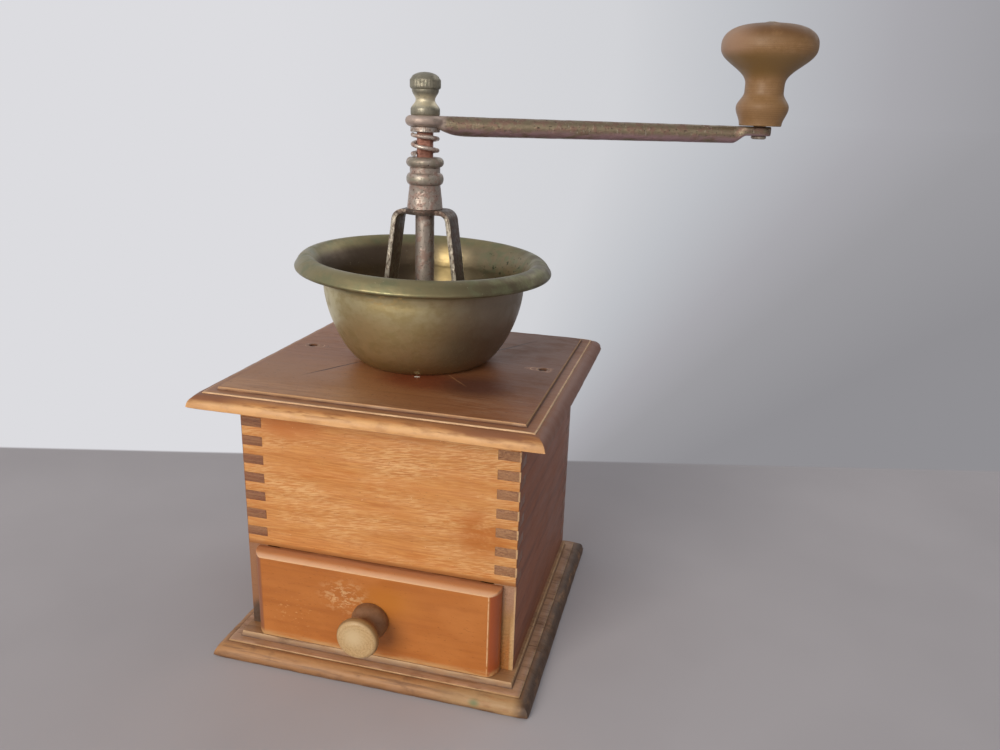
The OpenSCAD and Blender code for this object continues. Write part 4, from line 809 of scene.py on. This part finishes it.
# Worn steel: grey and satin, brown in the hollows, brighter where it is touched.
worn_steel, tree, shader = surface("worn_steel", Metallic=0.85)
stain = marks(tree, "X", 2.4, 1.8, 0.44, 0.62, shift=50.0)
scratch = marks(tree, "Z", 1.6, 0.3, 0.55, 0.7, shift=51.0)
coat(tree, shader, "#bbb2a8", [(stain, "#a08d81"), (scratch, "#e0d9d0")])
relief(tree, shader, [(stain, 0.04), (scratch, -0.03)])
sheen_range(tree, shader, stain, 0.3, 0.55)
bolt = turned("yoke_bolt", [
    (0, BOLT_END), (1.3, BOLT_END), (BOLT_R, BOLT_END + 0.3), (BOLT_R, FOOT_TOP), (HEAD_R, FOOT_TOP)]
    + arc((0, FOOT_TOP), HEAD_R, HEAD_H, 10, 90, 8), worn_steel, 32)
carve(bolt, block("bolt_slot", (-PAST, -SLOT_HALF, SLOT_LOW), (PAST, SLOT_HALF, FOOT_TOP + PAST), worn_steel))
bolts = in_rows("yoke_bolts_slotted", bolt, worn_steel, (2, 1), (2 * BOLT_X, 0.0), (-BOLT_X, 0.0, 0.0))
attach(bolts, "root")
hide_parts("yoke_bolts")
bolt_nuts = softened("yoke_nuts", "yoke_nuts_square", dark_iron, 0.25)
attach(bolt_nuts, "root")
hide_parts("yoke_nuts")

# Bushing and spring seat
# A turned iron bearing riveted into the strap, with a bead round its neck and a loose thick ring on top.
# Thin rust makes both pinkish, and the tool marks still catch the light.
STRAP_TOP, BEAD_AT, BUSHING_TOP, SEAT_TOP, BORE = 190.1, 202.7, 207.5, 211.7, 4.15
# Turned iron under thin rust: a pinkish grey with a soft gloss, olive where old grease has dried on.
bushing_iron, tree, shader, layers = iron("pinkish_turned_iron", "#a68d82", "#d3ccc3", 0.55)
on_bead = both_masks(tree, zone(tree, "Z", 201.0, 202.6), zone(tree, "Z", 204.6, 203.0),
                     marks(tree, "X", 5.0, 2.0, 0.35, 0.6, shift=45.0))
on_seat = both_masks(tree, zone(tree, "Z", 207.6, 208.6), marks(tree, "X", 5.0, 2.0, 0.35, 0.6, shift=46.0))
coat(tree, shader, "#ab9f94", layers + [(on_bead, "#958f80"), (on_seat, "#948b7c")])
bushing = turned("shaft_bushing_turned", [
    (BORE, STRAP_TOP - 2), (5.4, STRAP_TOP - 2), (5.4, STRAP_TOP), (7.45, STRAP_TOP), (7.65, STRAP_TOP + 0.3),
    (7.2, STRAP_TOP + 5.0), (6.6, STRAP_TOP + 9.9)] + arc((6.6, BEAD_AT), 1.35, 2.4, -84, 84, 16)
    + [(6.45, 205.4), (6.5, 207.2), (6.3, BUSHING_TOP), (BORE, BUSHING_TOP)], bushing_iron)
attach(bushing, "root")
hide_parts("shaft_bushing")
seat_r = (SEAT_TOP - BUSHING_TOP) / 2
seat = turned("spring_seat_ring_turned", [(BORE, BUSHING_TOP)] + arc(
    (5.9, BUSHING_TOP + seat_r), seat_r, seat_r, -90, 90, 18) + [(BORE, SEAT_TOP)], bushing_iron)
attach(seat, "root")
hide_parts("spring_seat_ring")

# Shaft and cone burr
# A round iron shaft, squared where the crank sits and threaded above it, with a cast cone pinned on below.
# It is polished by the beans in the bowl and red with rust inside the spring.

# Iron rubbed by beans: pale grey with a soft gloss in the bowl, brick red and dull above the bearing.
shaft_iron, tree, shader, layers = iron("bean_polished_iron", "#a1897e", "#d2cac1", 0.6)
streaks = both_masks(tree, zone(tree, "Z", 211.5, 212.5), marks(tree, "Z", 3.0, 1.2, 0.45, 0.65, shift=47.0))
coat(tree, shader, "#b0a59b", layers + [(zone(tree, "Z", 211.2, 212.0), "#a67565"), (streaks, "#b08070")])
shaft = softened("drive_shaft", "drive_shaft_worn", shaft_iron, smooth=40.0)
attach(shaft, "shaft")
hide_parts("drive_shaft")
cone = softened("cone_burr", "cone_burr_cast", dark_iron)
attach(cone, "shaft")
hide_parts("cone_burr")
pin = softened("burr_pin", "burr_pin_driven", worn_steel, 0.3)
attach(pin, "shaft")
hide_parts("burr_pin")

# Spring and washer
# An open coil of round steel wire keeps the shaft drawn up.
# A bright turned washer spreads its push over the crank's eye.
WASHER_LOW, EYE_LOW, EYE_TOP, WASHER_BORE, WASHER_R, CRANK_ANGLE = 221.9, 224.1, 228.6, 3.95, 6.2, 14.0
WIRE, COIL_R, TURNS, CLOSE, COIL_GAP, RINGS, COIL_START = 1.7, 5.25, 2.05, 0.35, 0.3, 112, 185.0


def wind(nodes, sizes):
    """The wire runs down a left hand coil with closer end turns and a short straight end at each side."""
    sums = (
        # name, what is done, and what it is done with
        ("last", "SUBTRACT", "Rings", 1.0),
        ("step", "DIVIDE", "Index", "last"),
        ("sweep", "MULTIPLY", "Turns", math.tau),
        ("length", "MULTIPLY", "sweep", "Radius"),
        ("spare", "DIVIDE", "Wire", "length"),
        ("before", "MULTIPLY", "spare", -1.0),
        ("whole", "MULTIPLY_ADD", "spare", 2.0, 1.0),
        ("along", "MULTIPLY_ADD", "step", "whole", "before"),
        ("begun", "MAXIMUM", "along", 0.0),
        ("held", "MINIMUM", "begun", 1.0),
        ("past", "SUBTRACT", "along", "held"),
        ("run_on", "MULTIPLY", "past", "length"),
        ("turn", "MULTIPLY_ADD", "held", "sweep", "Start"),
        ("wave", "MULTIPLY", "held", math.tau),
        ("swing", "SINE", "wave"),
        ("closer", "DIVIDE", "Close", math.tau),
        ("drawn", "MULTIPLY", "swing", "closer"),
        ("drop", "SUBTRACT", "held", "drawn"),
        ("out", "COSINE", "turn"),
        ("side", "SINE", "turn"),
        ("out_round", "MULTIPLY", "out", "Radius"),
        ("out_on", "MULTIPLY", "side", "run_on"),
        ("X", "SUBTRACT", "out_round", "out_on"),
        ("side_round", "MULTIPLY", "side", "Radius"),
        ("side_on", "MULTIPLY", "out", "run_on"),
        ("Y", "ADD", "side_round", "side_on"),
        ("fall", "SUBTRACT", "Bottom", "Top"),
        ("Z", "MULTIPLY_ADD", "drop", "fall", "Top"),
        ("wire_r", "MULTIPLY", "Wire", 0.5),
    )
    labels = ("Rings", "Turns", "Radius", "Wire", "Close", "Start", "Top", "Bottom")
    known = {label: sizes[label] for label in labels}
    known["Index"] = add(nodes, "GeometryNodeInputIndex")
    for label, kind, *values in sums:
        inputs = dict(enumerate(known.get(value, value) for value in values))
        known[label] = add(nodes, "ShaderNodeMath", inputs, operation=kind)
    place = add(nodes, "ShaderNodeCombineXYZ", {axis: known[axis] for axis in "XYZ"})
    line = add(nodes, "GeometryNodeMeshLine", {"Count": sizes["Rings"]})
    wound = add(nodes, "GeometryNodeSetPosition", {0: line, "Position": place})
    ring = add(nodes, "GeometryNodeCurvePrimitiveCircle", {"Resolution": 16, "Radius": known["wire_r"]})
    return add(nodes, "GeometryNodeCurveToMesh", {
        "Curve": add(nodes, "GeometryNodeMeshToCurve", {0: wound}), "Profile Curve": ring, "Fill Caps": True})


# Spring wire under thin rust: pale pinkish grey with small bright rubs and dark pits.
spring_steel, tree, shader, layers = iron("rusted_spring_wire", "#b09589", "#e2dbd3", 0.6)
coat(tree, shader, "#cdc0b5", layers)
spring = by_rule("crank_spring_wound", spring_steel, {
    "Rings": RINGS, "Turns": TURNS, "Radius": COIL_R / 1000, "Wire": WIRE / 1000, "Close": CLOSE,
    "Start": math.radians(CRANK_ANGLE + COIL_START), "Top": (WASHER_LOW - COIL_GAP - WIRE / 2) / 1000,
    "Bottom": (SEAT_TOP + COIL_GAP + WIRE / 2) / 1000}, wind)
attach(spring, "crank")
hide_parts("crank_spring")
washer = turned("crank_washer_turned", [
    (WASHER_BORE, WASHER_LOW), (WASHER_R - 0.2, WASHER_LOW), (WASHER_R, WASHER_LOW + 0.25),
    (WASHER_R, EYE_LOW - 0.25), (WASHER_R - 0.2, EYE_LOW), (WASHER_BORE, EYE_LOW)], worn_steel, 72)
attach(washer, "crank")
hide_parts("crank_washer")

# Crank arm
# Forged in one piece: a round eye, a tapering bar hammered from the round, and a flat tongue for the rivet.
# Hands have kept its top olive brown, while purple rust lies underneath.
SPAN, EYE_R, BAR_D, TIP_D, TONGUE_T, TONGUE_W, TONGUE_LEN, RAMP = 140.0, 8.5, 8.2, 7.0, 3.8, 9.6, 7.0, 3.2
SECTION, SQUARE, ROOT, VOXEL, DENT, DENT_WAVE = 28, 3.95, 4.5, 0.35, 0.14, 6.0
# Forged iron polished by hands: olive brown and satin above, violet rust below, pale and pinkish on the eye.
crank_iron, tree, shader, layers = iron("hand_worn_forged_iron", "#83695b", "#aaa191", 0.6)
up = add(tree, "ShaderNodeSeparateXYZ", {0: add(tree, "ShaderNodeNewGeometry", out="Normal")}, out="Z")
under = add(tree, "ShaderNodeMapRange", {"Value": up, "From Min": 0.0, "From Max": -0.6},
            interpolation_type="SMOOTHSTEP")
violet = both_masks(tree, under, marks(tree, "X", 9.0, 3.0, 0.3, 0.6, shift=48.0))
on_eye = both_masks(tree, spot(tree, (0, 0, 226.3), (11, 11, 12), 0.3),
                    marks(tree, "X", 4.0, 3.0, 0.15, 0.45, shift=49.0))
coat(tree, shader, "#82755f", layers + [(violet, "#a4868a"), (on_eye, "#bba99e")])


def blend(low, high, at):
    """A smooth rise from 0 to 1 between two places."""
    t = min(max((at - low) / (high - low), 0.0), 1.0)
    return t * t * (3 - 2 * t)


def joined(name, parts, material):
    """Several pieces made into one."""
    work = bmesh.new()
    for part in parts:
        work.from_mesh(part.data)
        bpy.data.objects.remove(part)
    mesh = bpy.data.meshes.new(name)
    work.to_mesh(mesh)
    work.free()
    mesh.materials.append(material)
    made = bpy.data.objects.new(name, mesh)
    scene.collection.objects.link(made)
    return made


def skin(points, count):
    """Faces of a bar drawn through sections of so many points each, closed at both ends."""
    last = len(points) - count
    made = [(i + k, i + (k + 1) % count, i + count + (k + 1) % count, i + count + k)
            for i in range(0, last, count) for k in range(count)]
    return made + [tuple(range(count)), tuple(range(last, len(points)))]


eye_h, tongue_at, tongue_end = EYE_TOP - EYE_LOW, SPAN - TONGUE_LEN, SPAN + TONGUE_W / 2
stations = [4.0 + 0.5 * i for i in range(30)] + [20.0 + 4.0 * i for i in range(27)]
stations += [126.0 + 0.4 * i for i in range(35)]
stations += [tongue_end - TONGUE_W / 2 * (1 - i / 12) ** 2 for i in range(12)]
points = []
for x in stations:
    bar = BAR_D + (TIP_D - BAR_D) * (x - EYE_R) / (tongue_at - EYE_R)
    root = min(max((x - EYE_R + ROOT) / (3 * ROOT), 0.0), 1.0)
    drop, flat = 1 - (1 - root) ** 2.2, blend(tongue_at - RAMP - 0.6, tongue_at + 1.0, x)
    deep = eye_h + (bar - eye_h) * drop
    deep += (TONGUE_T - deep) * flat
    wide = bar + (TONGUE_W - bar) * flat
    if x > SPAN:
        wide *= max(1 - ((x - SPAN) / (tongue_end - SPAN)) ** 2, 0.02) ** 0.5
    power = 2.0 / (2.0 + 2.0 * (1 - drop) + 4.0 * flat)
    for k in range(SECTION):
        c, d = math.cos(math.tau * k / SECTION), math.sin(math.tau * k / SECTION)
        points.append((x, wide / 2 * math.copysign(abs(c) ** power, c),
                       EYE_TOP - deep / 2 + deep / 2 * math.copysign(abs(d) ** power, d)))
eye_r = eye_h / 2
eye_rim = arc((EYE_R - eye_r, EYE_LOW + eye_r), eye_r, eye_r, -90, 90, 16)
eye_disc = turned("eye", [(0, EYE_LOW)] + eye_rim + [(0, EYE_TOP)], crank_iron)
forged_bar = piece("bar", points, skin(points, SECTION), crank_iron)
arm = joined("crank_arm_forged", [forged_bar, eye_disc], crank_iron)
forge = arm.modifiers.new("forge", "REMESH")
forge.mode, forge.voxel_size = "VOXEL", VOXEL / 1000
flow = arm.modifiers.new("flow", "SMOOTH")
flow.factor, flow.iterations = 0.5, 6
bake(arm)
hammered = []
for point in arm.data.vertices:
    hammered.extend(point.co - point.normal * (DENT / 1000) * max(0.0, worn(3, point.co * 1000, DENT_WAVE)))
arm.data.vertices.foreach_set("co", hammered)
carve(arm, block("square_hole", (-SQUARE, -SQUARE, EYE_LOW - 1), (SQUARE, SQUARE, EYE_TOP + 1), crank_iron))
arm.data.transform(Matrix.Rotation(math.radians(CRANK_ANGLE), 4, "Z"))
arm.data.shade_smooth()
arm.data.set_sharp_from_angle(angle=math.radians(50))
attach(arm, "crank")
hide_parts("crank_arm")

# Top nut
# Turned from brass bar: flared foot, slim waist, and a domed head knurled for the fingers.
# It has tarnished grey green, and a highlight is painted on its waist.
NUT_H, NUT_HEAD_R, NUT_WAIST_R, NUT_FOOT_R, KNURLS, RIDGE = 17.1, 6.45, 4.05, 6.15, 32, 0.08
# Section of a ridge, outward and across, from one foot over its crest to the other
RIDGE_SECTION = ((-0.42, -0.42), (-0.1, -0.26), (0.0, 0.0), (-0.1, 0.26), (-0.42, 0.42))


def eased(a, b, steps):
    """Points of a turned sweep from a towards b, upright at both ends."""
    return [(a[0] + (b[0] - a[0]) * (1 - math.cos(math.pi * i / steps)) / 2, a[1] + (b[1] - a[1]) * i / steps)
            for i in range(steps)]


# Tarnished brass: a dull grey green with green specks, and a warm highlight painted on the waist.
nut_brass, tree, shader = surface("tarnished_turned_brass", Metallic=0.7)
blotch = marks(tree, "X", 3.0, 2.4, 0.42, 0.64, shift=55.0)
# Painted highlight round the waist.
waist = both_masks(tree, zone(tree, "Z", 231.2, 233.0), zone(tree, "Z", 237.6, 235.6),
                   marks(tree, "X", 4.0, 3.0, 0.15, 0.45, shift=56.0))
coat(tree, shader, "#969180", [
    (blotch, "#858172"), (waist, "#d0c6aa"), (marks(tree, "X", 1.0, 0.8, 0.6, 0.7, shift=57.0), "#74806c")])
relief(tree, shader, [(blotch, 0.04), (marks(tree, "X", 0.8, 0.8, shift=58.0), 0.03)])
sheen_range(tree, shader, blotch, 0.4, 0.58)
waist_at, ring_at, head_at, neck_r = NUT_H * 0.36, NUT_H * 0.58, NUT_H * 0.73, NUT_HEAD_R * 0.87
head_r = NUT_HEAD_R - RIDGE
crown = arc((neck_r, head_at - 0.9), head_r - neck_r, head_at - ring_at - 1.3, -90, 0, 7)
crown += arc((head_r - 1.5, head_at + 1.1), 1.5, 1.5, 0, 50, 6)
dome = arc((0, head_at + 1.5), head_r * 0.96, NUT_H - head_at - 1.5, 25, 90, 12)
body = [(0, 0), (NUT_FOOT_R - 0.3, 0), (NUT_FOOT_R, 0.4)]
body += eased((NUT_FOOT_R, 2.2), (NUT_WAIST_R, waist_at), 14)
body += eased((NUT_WAIST_R, waist_at), (neck_r, ring_at), 14) + [(neck_r, ring_at)] + crown + dome
nut_turned = turned("top_nut_body", body, nut_brass, steps=112, place=(0, 0, EYE_TOP))
ridge_points = [(r + RIDGE + out, side, z) for r, z in crown[4:12] for out, side in RIDGE_SECTION]
ridge = piece("knurl_ridge", ridge_points, skin(ridge_points, len(RIDGE_SECTION)), nut_brass)


def round_head(nodes, sizes):
    """Ridges set round the head at even angles, joined to the turned body."""
    step = add(nodes, "ShaderNodeMath", {0: math.tau, 1: sizes["Ridges"]}, operation="DIVIDE")
    index = add(nodes, "GeometryNodeInputIndex")
    angle = add(nodes, "ShaderNodeMath", {0: index, 1: step}, operation="MULTIPLY")
    facing = add(nodes, "FunctionNodeEulerToRotation", {0: add(nodes, "ShaderNodeCombineXYZ", {"Z": angle})})
    shape = add(nodes, "GeometryNodeObjectInfo", {"Object": ridge}, out="Geometry")
    at_axis = add(nodes, "GeometryNodeMeshLine", {"Count": sizes["Ridges"], "Offset": (0.0, 0.0, 0.0)})
    copies = add(nodes, "GeometryNodeInstanceOnPoints", {
        "Points": at_axis, "Instance": shape, "Rotation": facing})
    raised = add(nodes, "GeometryNodeTransform", {0: copies, "Translation": sizes["Seat"]})
    body_shape = add(nodes, "GeometryNodeObjectInfo", {"Object": nut_turned}, out="Geometry")
    both = add(nodes, "GeometryNodeJoinGeometry", {0: raised})
    nodes.links.new(body_shape, both.node.inputs[0])
    return both


nut = by_rule("top_nut_turned", nut_brass, {
    "Ridges": KNURLS, "Seat": Vector((0, 0, EYE_TOP)) / 1000}, round_head)
bpy.data.objects.remove(nut_turned)
bpy.data.objects.remove(ridge)
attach(nut, "nut")
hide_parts("top_nut")

# Grip pin
# An iron rivet through the tongue and the grip, which turns on it.
# Its tail is hammered over below, and its head is domed above.
GRIP_X = SPAN * math.cos(math.radians(CRANK_ANGLE))
GRIP_Y = SPAN * math.sin(math.radians(CRANK_ANGLE))
GRIP_LOW, GRIP_H, TONGUE_LOW, PIN_R, PIN_HEAD_R, TAIL_H = 228.8, 39.5, 224.8, 2.5, 3.1, 1.3
pin_top = GRIP_LOW + GRIP_H + 0.2
tail = TONGUE_LOW - TAIL_H
knob_pin = turned("knob_pin_riveted", [
    (0, tail), (PIN_R, tail), (3.05, tail + 0.4), (PIN_HEAD_R, tail + 1.0), (2.9, TONGUE_LOW),
    (PIN_R, TONGUE_LOW), (PIN_R, pin_top), (PIN_HEAD_R, pin_top)]
    + arc((0, pin_top), PIN_HEAD_R, 0.8, 12, 90, 8), bushing_iron, steps=48, place=(GRIP_X, GRIP_Y, 0))
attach(knob_pin, "crank")
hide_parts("knob_pin")

# Crank grip
# Turned from beech with a foot, a bead, a neck and a flattened head, and polished by years of hands.
# Turning leaves fine rings, and the grain runs across them.
GRIP_BORE, CAP_R, HOOP = 2.55, 4.0, 10 / 7
# Hand polished beech: a soft low gloss, warm brown, darker on the crown, with faint hoops from the lathe.
grip_wood, tree, shader = surface("hand_polished_beech", Coat_Weight=0.04, Coat_Roughness=0.2)
bands = marks(tree, "Y", 34.0, 1.9, 0.38, 0.66, shift=60.0)
fine = marks(tree, "Y", 14.0, 0.5, shift=60.5, detail=5.0)
cloud = marks(tree, "X", 16.0, 7.0, 0.36, 0.66, shift=61.0)
level = add(tree, "ShaderNodeSeparateXYZ", {0: add(tree, "ShaderNodeTexCoord", out="Object")}, out="Z")
up_grip = add(tree, "ShaderNodeMath", {0: level, 1: 1000 / HOOP}, operation="MULTIPLY")
turnery = add(tree, "ShaderNodeTexNoise", {"W": up_grip, "Detail": 2.0}, noise_dimensions="1D")
hoops = add(tree, "ShaderNodeMapRange", {"Value": turnery, "From Min": 0.46, "From Max": 0.66},
            interpolation_type="SMOOTHSTEP")
flecks = marks(tree, "Y", 2.2, 0.35, 0.6, 0.7, shift=62.0)
dark_crown = both_masks(tree, zone(tree, "Z", 259.0, 265.0),
                        marks(tree, "Y", 12.0, 5.0, 0.15, 0.5, shift=63.0))
under_head = both_masks(tree, zone(tree, "Z", 258.0, 254.0), zone(tree, "Z", 246.0, 250.0))
# The left side of the grip, toward the window, is painted paler as light.
coat(tree, shader, "#987650", [
    (bands, "#8a683f"), (cloud, "#8f6d46"), (hoops, "#83603a"), (flecks, "#6f5030"), (dark_crown, "#6e4c28"),
    (zone(tree, "X", 133.0, 119.0), "#a4836a"), (under_head, "#86683c")])
relief(tree, shader, [(fine, 0.04), (turnery, 0.05)])
sheen_range(tree, shader, cloud, 0.46, 0.6)
bead, neck_low, neck_high, head = (10.6, 7.3), (7.85, 13.4), (7.85, 15.6), (19.14, 31.2)
swell = []
for i in range(36):
    t = i / 36
    full = t ** 3 * (10 - 15 * t + 6 * t * t)
    swell.append((neck_high[0] + (head[0] - neck_high[0]) * full,
                  neck_high[1] + (head[1] - neck_high[1]) * t))
crown = []
for i in range(29):
    a = math.radians(90 * i / 28)
    crown.append((CAP_R + (head[0] - CAP_R) * max(math.cos(a), 0.0) ** 0.85,
                  head[1] + (GRIP_H - head[1]) * math.sin(a) ** 0.85))
outline = [(GRIP_BORE, 0), (8.3, 0)] + eased((8.6, 0.35), bead, 18) + eased(bead, neck_low, 20)
outline += [neck_low] + swell + crown + [(GRIP_BORE, GRIP_H)]
grip = turned("crank_knob_turned", outline, grip_wood, steps=128, place=(GRIP_X, GRIP_Y, GRIP_LOW))
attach(grip, "knob")
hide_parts("crank_knob")

# Drawer box
# Thin beech sides, back and bottom, butted and bradded together.
# Coffee has stained the inside brown.

# Bare beech stained by coffee: dull, with open grain, brown clouds and dark dust low down.
box_wood, tree, shader = surface("coffee_stained_beech", Roughness=0.7)
bands = marks(tree, "Y", 80.0, 2.6, 0.4, 0.68, shift=70.0)
fine = marks(tree, "Y", 20.0, 0.5, shift=70.5, detail=5.0)
stain = marks(tree, "X", 22.0, 16.0, 0.4, 0.66, shift=71.0)
dusty = both_masks(tree, zone(tree, "Z", 26.0, 12.0), marks(tree, "X", 3.0, 2.4, 0.35, 0.6, shift=72.0))
flecks = marks(tree, "Y", 2.6, 0.4, 0.62, 0.72, shift=73.0)
coat(tree, shader, "#b58a58", [
    (bands, "#9c7244"), (stain, "#8f673f"), (dusty, "#6f4c30"), (flecks, "#7d5835")])
relief(tree, shader, [(fine, 0.06), (bands, -0.05)])
for node, width, slot in (("drawer_left_side", 0.4, "amber_wood"), ("drawer_right_side", 0.4, "amber_wood"),
                          ("drawer_back", 0.4, "amber_wood"), ("drawer_bottom", 0.25, "pale_wood")):
    board = softened(node, node + "_worn", box_wood, width)
    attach(board, "drawer")
    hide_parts(node)

# Drawer brads
# Eight small iron brads with dark heads.
# They are driven through the drawer's sides into its front and back.
BRAD_X, BRAD_FRONT, BRAD_BACK, BRAD_LEVELS = 50.2, -55.1, 45.2, (17.5, 36.0)
BRAD = [(0, -13), (0.15, -13), (0.68, -11), (0.68, -0.6), (1.25, -0.55), (1.28, -0.12), (1.0, 0), (0, 0)]
four = [turned("brad", BRAD, dark_iron, 20, place=(sign * BRAD_X, 0, z), aim=(sign, 0, 0))
        for sign in (-1, 1) for z in BRAD_LEVELS]
brads = in_rows("drawer_nails_driven", joined("four_brads", four, dark_iron), dark_iron, (1, 2),
                (0.0, BRAD_BACK - BRAD_FRONT), (0.0, BRAD_FRONT, 0.0))
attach(brads, "drawer")
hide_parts("drawer_nails")

# Drawer front
# A thick beech front rounded over at its top and ends, lapping over the case beside the opening.
# Its orange shellac is the best kept on the mill, with pale scuffs beside the pull and a few dark spots.
FRONT_FACE = -65.5
# Orange shellac on beech: a clear soft gloss, deep orange with darker grain, pale where it is knocked off.
# Light and shade are painted on its top, its ends, its arrises and beside the pull.
drawer_wood, tree, shader = surface("orange_shellac_on_beech", Coat_Weight=0.12, Coat_Roughness=0.25)
bands = marks(tree, "X", 110.0, 5.0, 0.42, 0.7, shift=80.0)
fine = marks(tree, "X", 26.0, 0.55, shift=80.5, detail=5.0)
deep = marks(tree, "X", 40.0, 16.0, 0.42, 0.66, shift=81.0)
flecks = marks(tree, "X", 2.4, 0.4, 0.62, 0.72, shift=87.0)
dots = marks(tree, "X", 1.3, 1.2, 0.7, 0.75, shift=85.0)
# Painted light: a paler patch beside the pull, over the place where its cast shadow falls.
warm = spot(tree, (8, FRONT_FACE, 36), (24, 9, 10), 0.9)
scuffs = both_masks(tree, spot(tree, (-12, FRONT_FACE, 35), (15, 9, 11), 0.8),
                    marks(tree, "X", 2.6, 1.5, 0.47, 0.62, shift=82.0, detail=6.0))
left_scuffs = both_masks(tree, spot(tree, (-36, FRONT_FACE, 24), (16, 9, 14), 0.9),
                         marks(tree, "X", 2.0, 1.2, 0.6, 0.66, shift=83.0))
# Painted light on the rounded top of the front, broken into streaks.
top_edge_light = both_masks(tree, zone(tree, "Z", 46.8, 47.8), marks(tree, "X", 13.0, 2.5, 0.25, 0.5, shift=84.0))
# On the top, painted shade darkens the back against the case and painted light brightens the front.
top_lip_shade = both_masks(tree, zone(tree, "Y", -60.2, -59.0), marks(tree, "X", 10.0, 2.0, 0.3, 0.55, shift=84.6))
on_top = zone(tree, "Z", 46.75, 46.95)
top_back_shade = both_masks(tree, on_top, zone(tree, "Y", -64.0, -60.4))
top_front_light = both_masks(tree, on_top, zone(tree, "Y", -62.4, -64.4),
                       marks(tree, "X", 12.0, 4.0, 0.1, 0.4, shift=84.9))
below_top = zone(tree, "Z", 47.4, 46.4)
# Painted shade on both ends of the front, below its top.
right_end = both_masks(tree, zone(tree, "X", 50.9, 51.5), below_top)
left_end_shade = both_masks(tree, zone(tree, "X", -49.9, -51.0), below_top)
# Painted highlights along the top and right arrises of the face.
right_arris_highlight = both_masks(tree, zone(tree, "X", 50.3, 50.55), zone(tree, "X", 51.0, 50.75))
top_arris_highlight = both_masks(tree, zone(tree, "Z", 46.7, 46.95), zone(tree, "Z", 47.4, 47.15))
arrises = both_masks(tree, add(tree, "ShaderNodeMath", {0: right_arris_highlight, 1: top_arris_highlight}, operation="MAXIMUM"),
                     zone(tree, "Y", -64.4, -64.9), marks(tree, "X", 7.0, 5.0, 0.3, 0.55, shift=88.0))
low = both_masks(tree, zone(tree, "Z", 12.5, 9.2), marks(tree, "X", 12.0, 2.0, 0.3, 0.6, shift=86.0))
coat(tree, shader, "#bb7131", [
    (bands, "#af662b"), (deep, "#c27837"), (flecks, "#96541f"), (warm, "#c47b36"), (top_edge_light, "#cc8e5c"),
    (top_back_shade, "#b67c55"), (top_front_light, "#e2b28c"), (right_end, "#a85328"), (left_end_shade, "#955c3a"),
    (top_lip_shade, "#96603c"), (arrises, "#e6b98c"), (scuffs, "#d8a672"), (left_scuffs, "#cc9257"),
    (dots, "#6b3a1a"), (low, "#cb9c68")])
relief(tree, shader, [(fine, 0.04), (bands, -0.03), (scuffs, -0.08)])
sheen_range(tree, shader, deep, 0.34, 0.48)
front = softened("drawer_front", "drawer_front_worn", drawer_wood, 0.22, smooth=18.0)
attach(front, "drawer")
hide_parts("drawer_front")

# Drawer pull
# A small turned beech knob glued into the front by its tenon.
# Fingers have worn its face bare and pale, and grease has darkened its neck.
PULL_Z, PULL_LEN, TENON, TENON_R, PULL_FOOT_R = 26.6, 15.8, -10.4, 3.48, 8.0
# Bare beech: pale and dull on the face with growth rings and short pores, brown and smooth on the neck.
pull_wood, tree, shader = surface("bare_worn_beech")
from_axis = add(tree, "ShaderNodeMapping", {
    "Vector": add(tree, "ShaderNodeTexCoord", out="Object"), "Location": (0.0015, 0.0, (PULL_Z - 2.0) / 1000),
    "Scale": (0.001, 0.06, 0.001)}, vector_type="TEXTURE")
rings = add(tree, "ShaderNodeTexWave", {"Vector": from_axis, "Scale": 0.22, "Distortion": 1.6, "Detail": 2.0},
            out="Fac", wave_type="RINGS", rings_direction="Y")
grime = marks(tree, "X", 4.0, 3.0, 0.4, 0.66, shift=90.0)
bare = zone(tree, "Y", -80.1, -81.1)
pores = both_masks(tree, zone(tree, "Y", -80.6, -81.2), marks(tree, "Y", 3.0, 0.5, 0.52, 0.66, shift=91.0))
palest = both_masks(tree, zone(tree, "Y", -80.9, -81.25), spot(tree, (-1, -81, 28), (7, 5, 7), 0.9))
coat(tree, shader, "#876040", [
    (grime, "#7a5334"), (zone(tree, "Y", -73.5, -78.5), "#957349"), (bare, "#c8a97c"),
    (both_masks(tree, bare, rings), "#c09e70"), (pores, "#ad8a5c"), (palest, "#d3ba90")])
relief(tree, shader, [(marks(tree, "Y", 6.0, 0.6, shift=92.0), 0.06), (rings, 0.02)])
sheen_range(tree, shader, grime, 0.42, 0.6)
foot, neck, head, edge = (PULL_FOOT_R, 1.6), (5.25, PULL_LEN * 0.48), (9.0, PULL_LEN - 2.2), 2.2
outline = [(0, TENON), (3.3, TENON), (TENON_R, TENON + 0.4), (TENON_R, 0), (7.7, 0), (PULL_FOOT_R, 0.4)]
outline += eased(foot, neck, 16) + eased(neck, head, 18)
outline += arc((head[0] - edge, head[1]), edge, edge, 0, 90, 14) + [(3.0, PULL_LEN), (0, PULL_LEN)]
pull = turned("drawer_knob_turned", outline, pull_wood, place=(0, FRONT_FACE, PULL_Z), aim=(0, -1, 0))
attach(pull, "drawer")
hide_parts("drawer_knob")
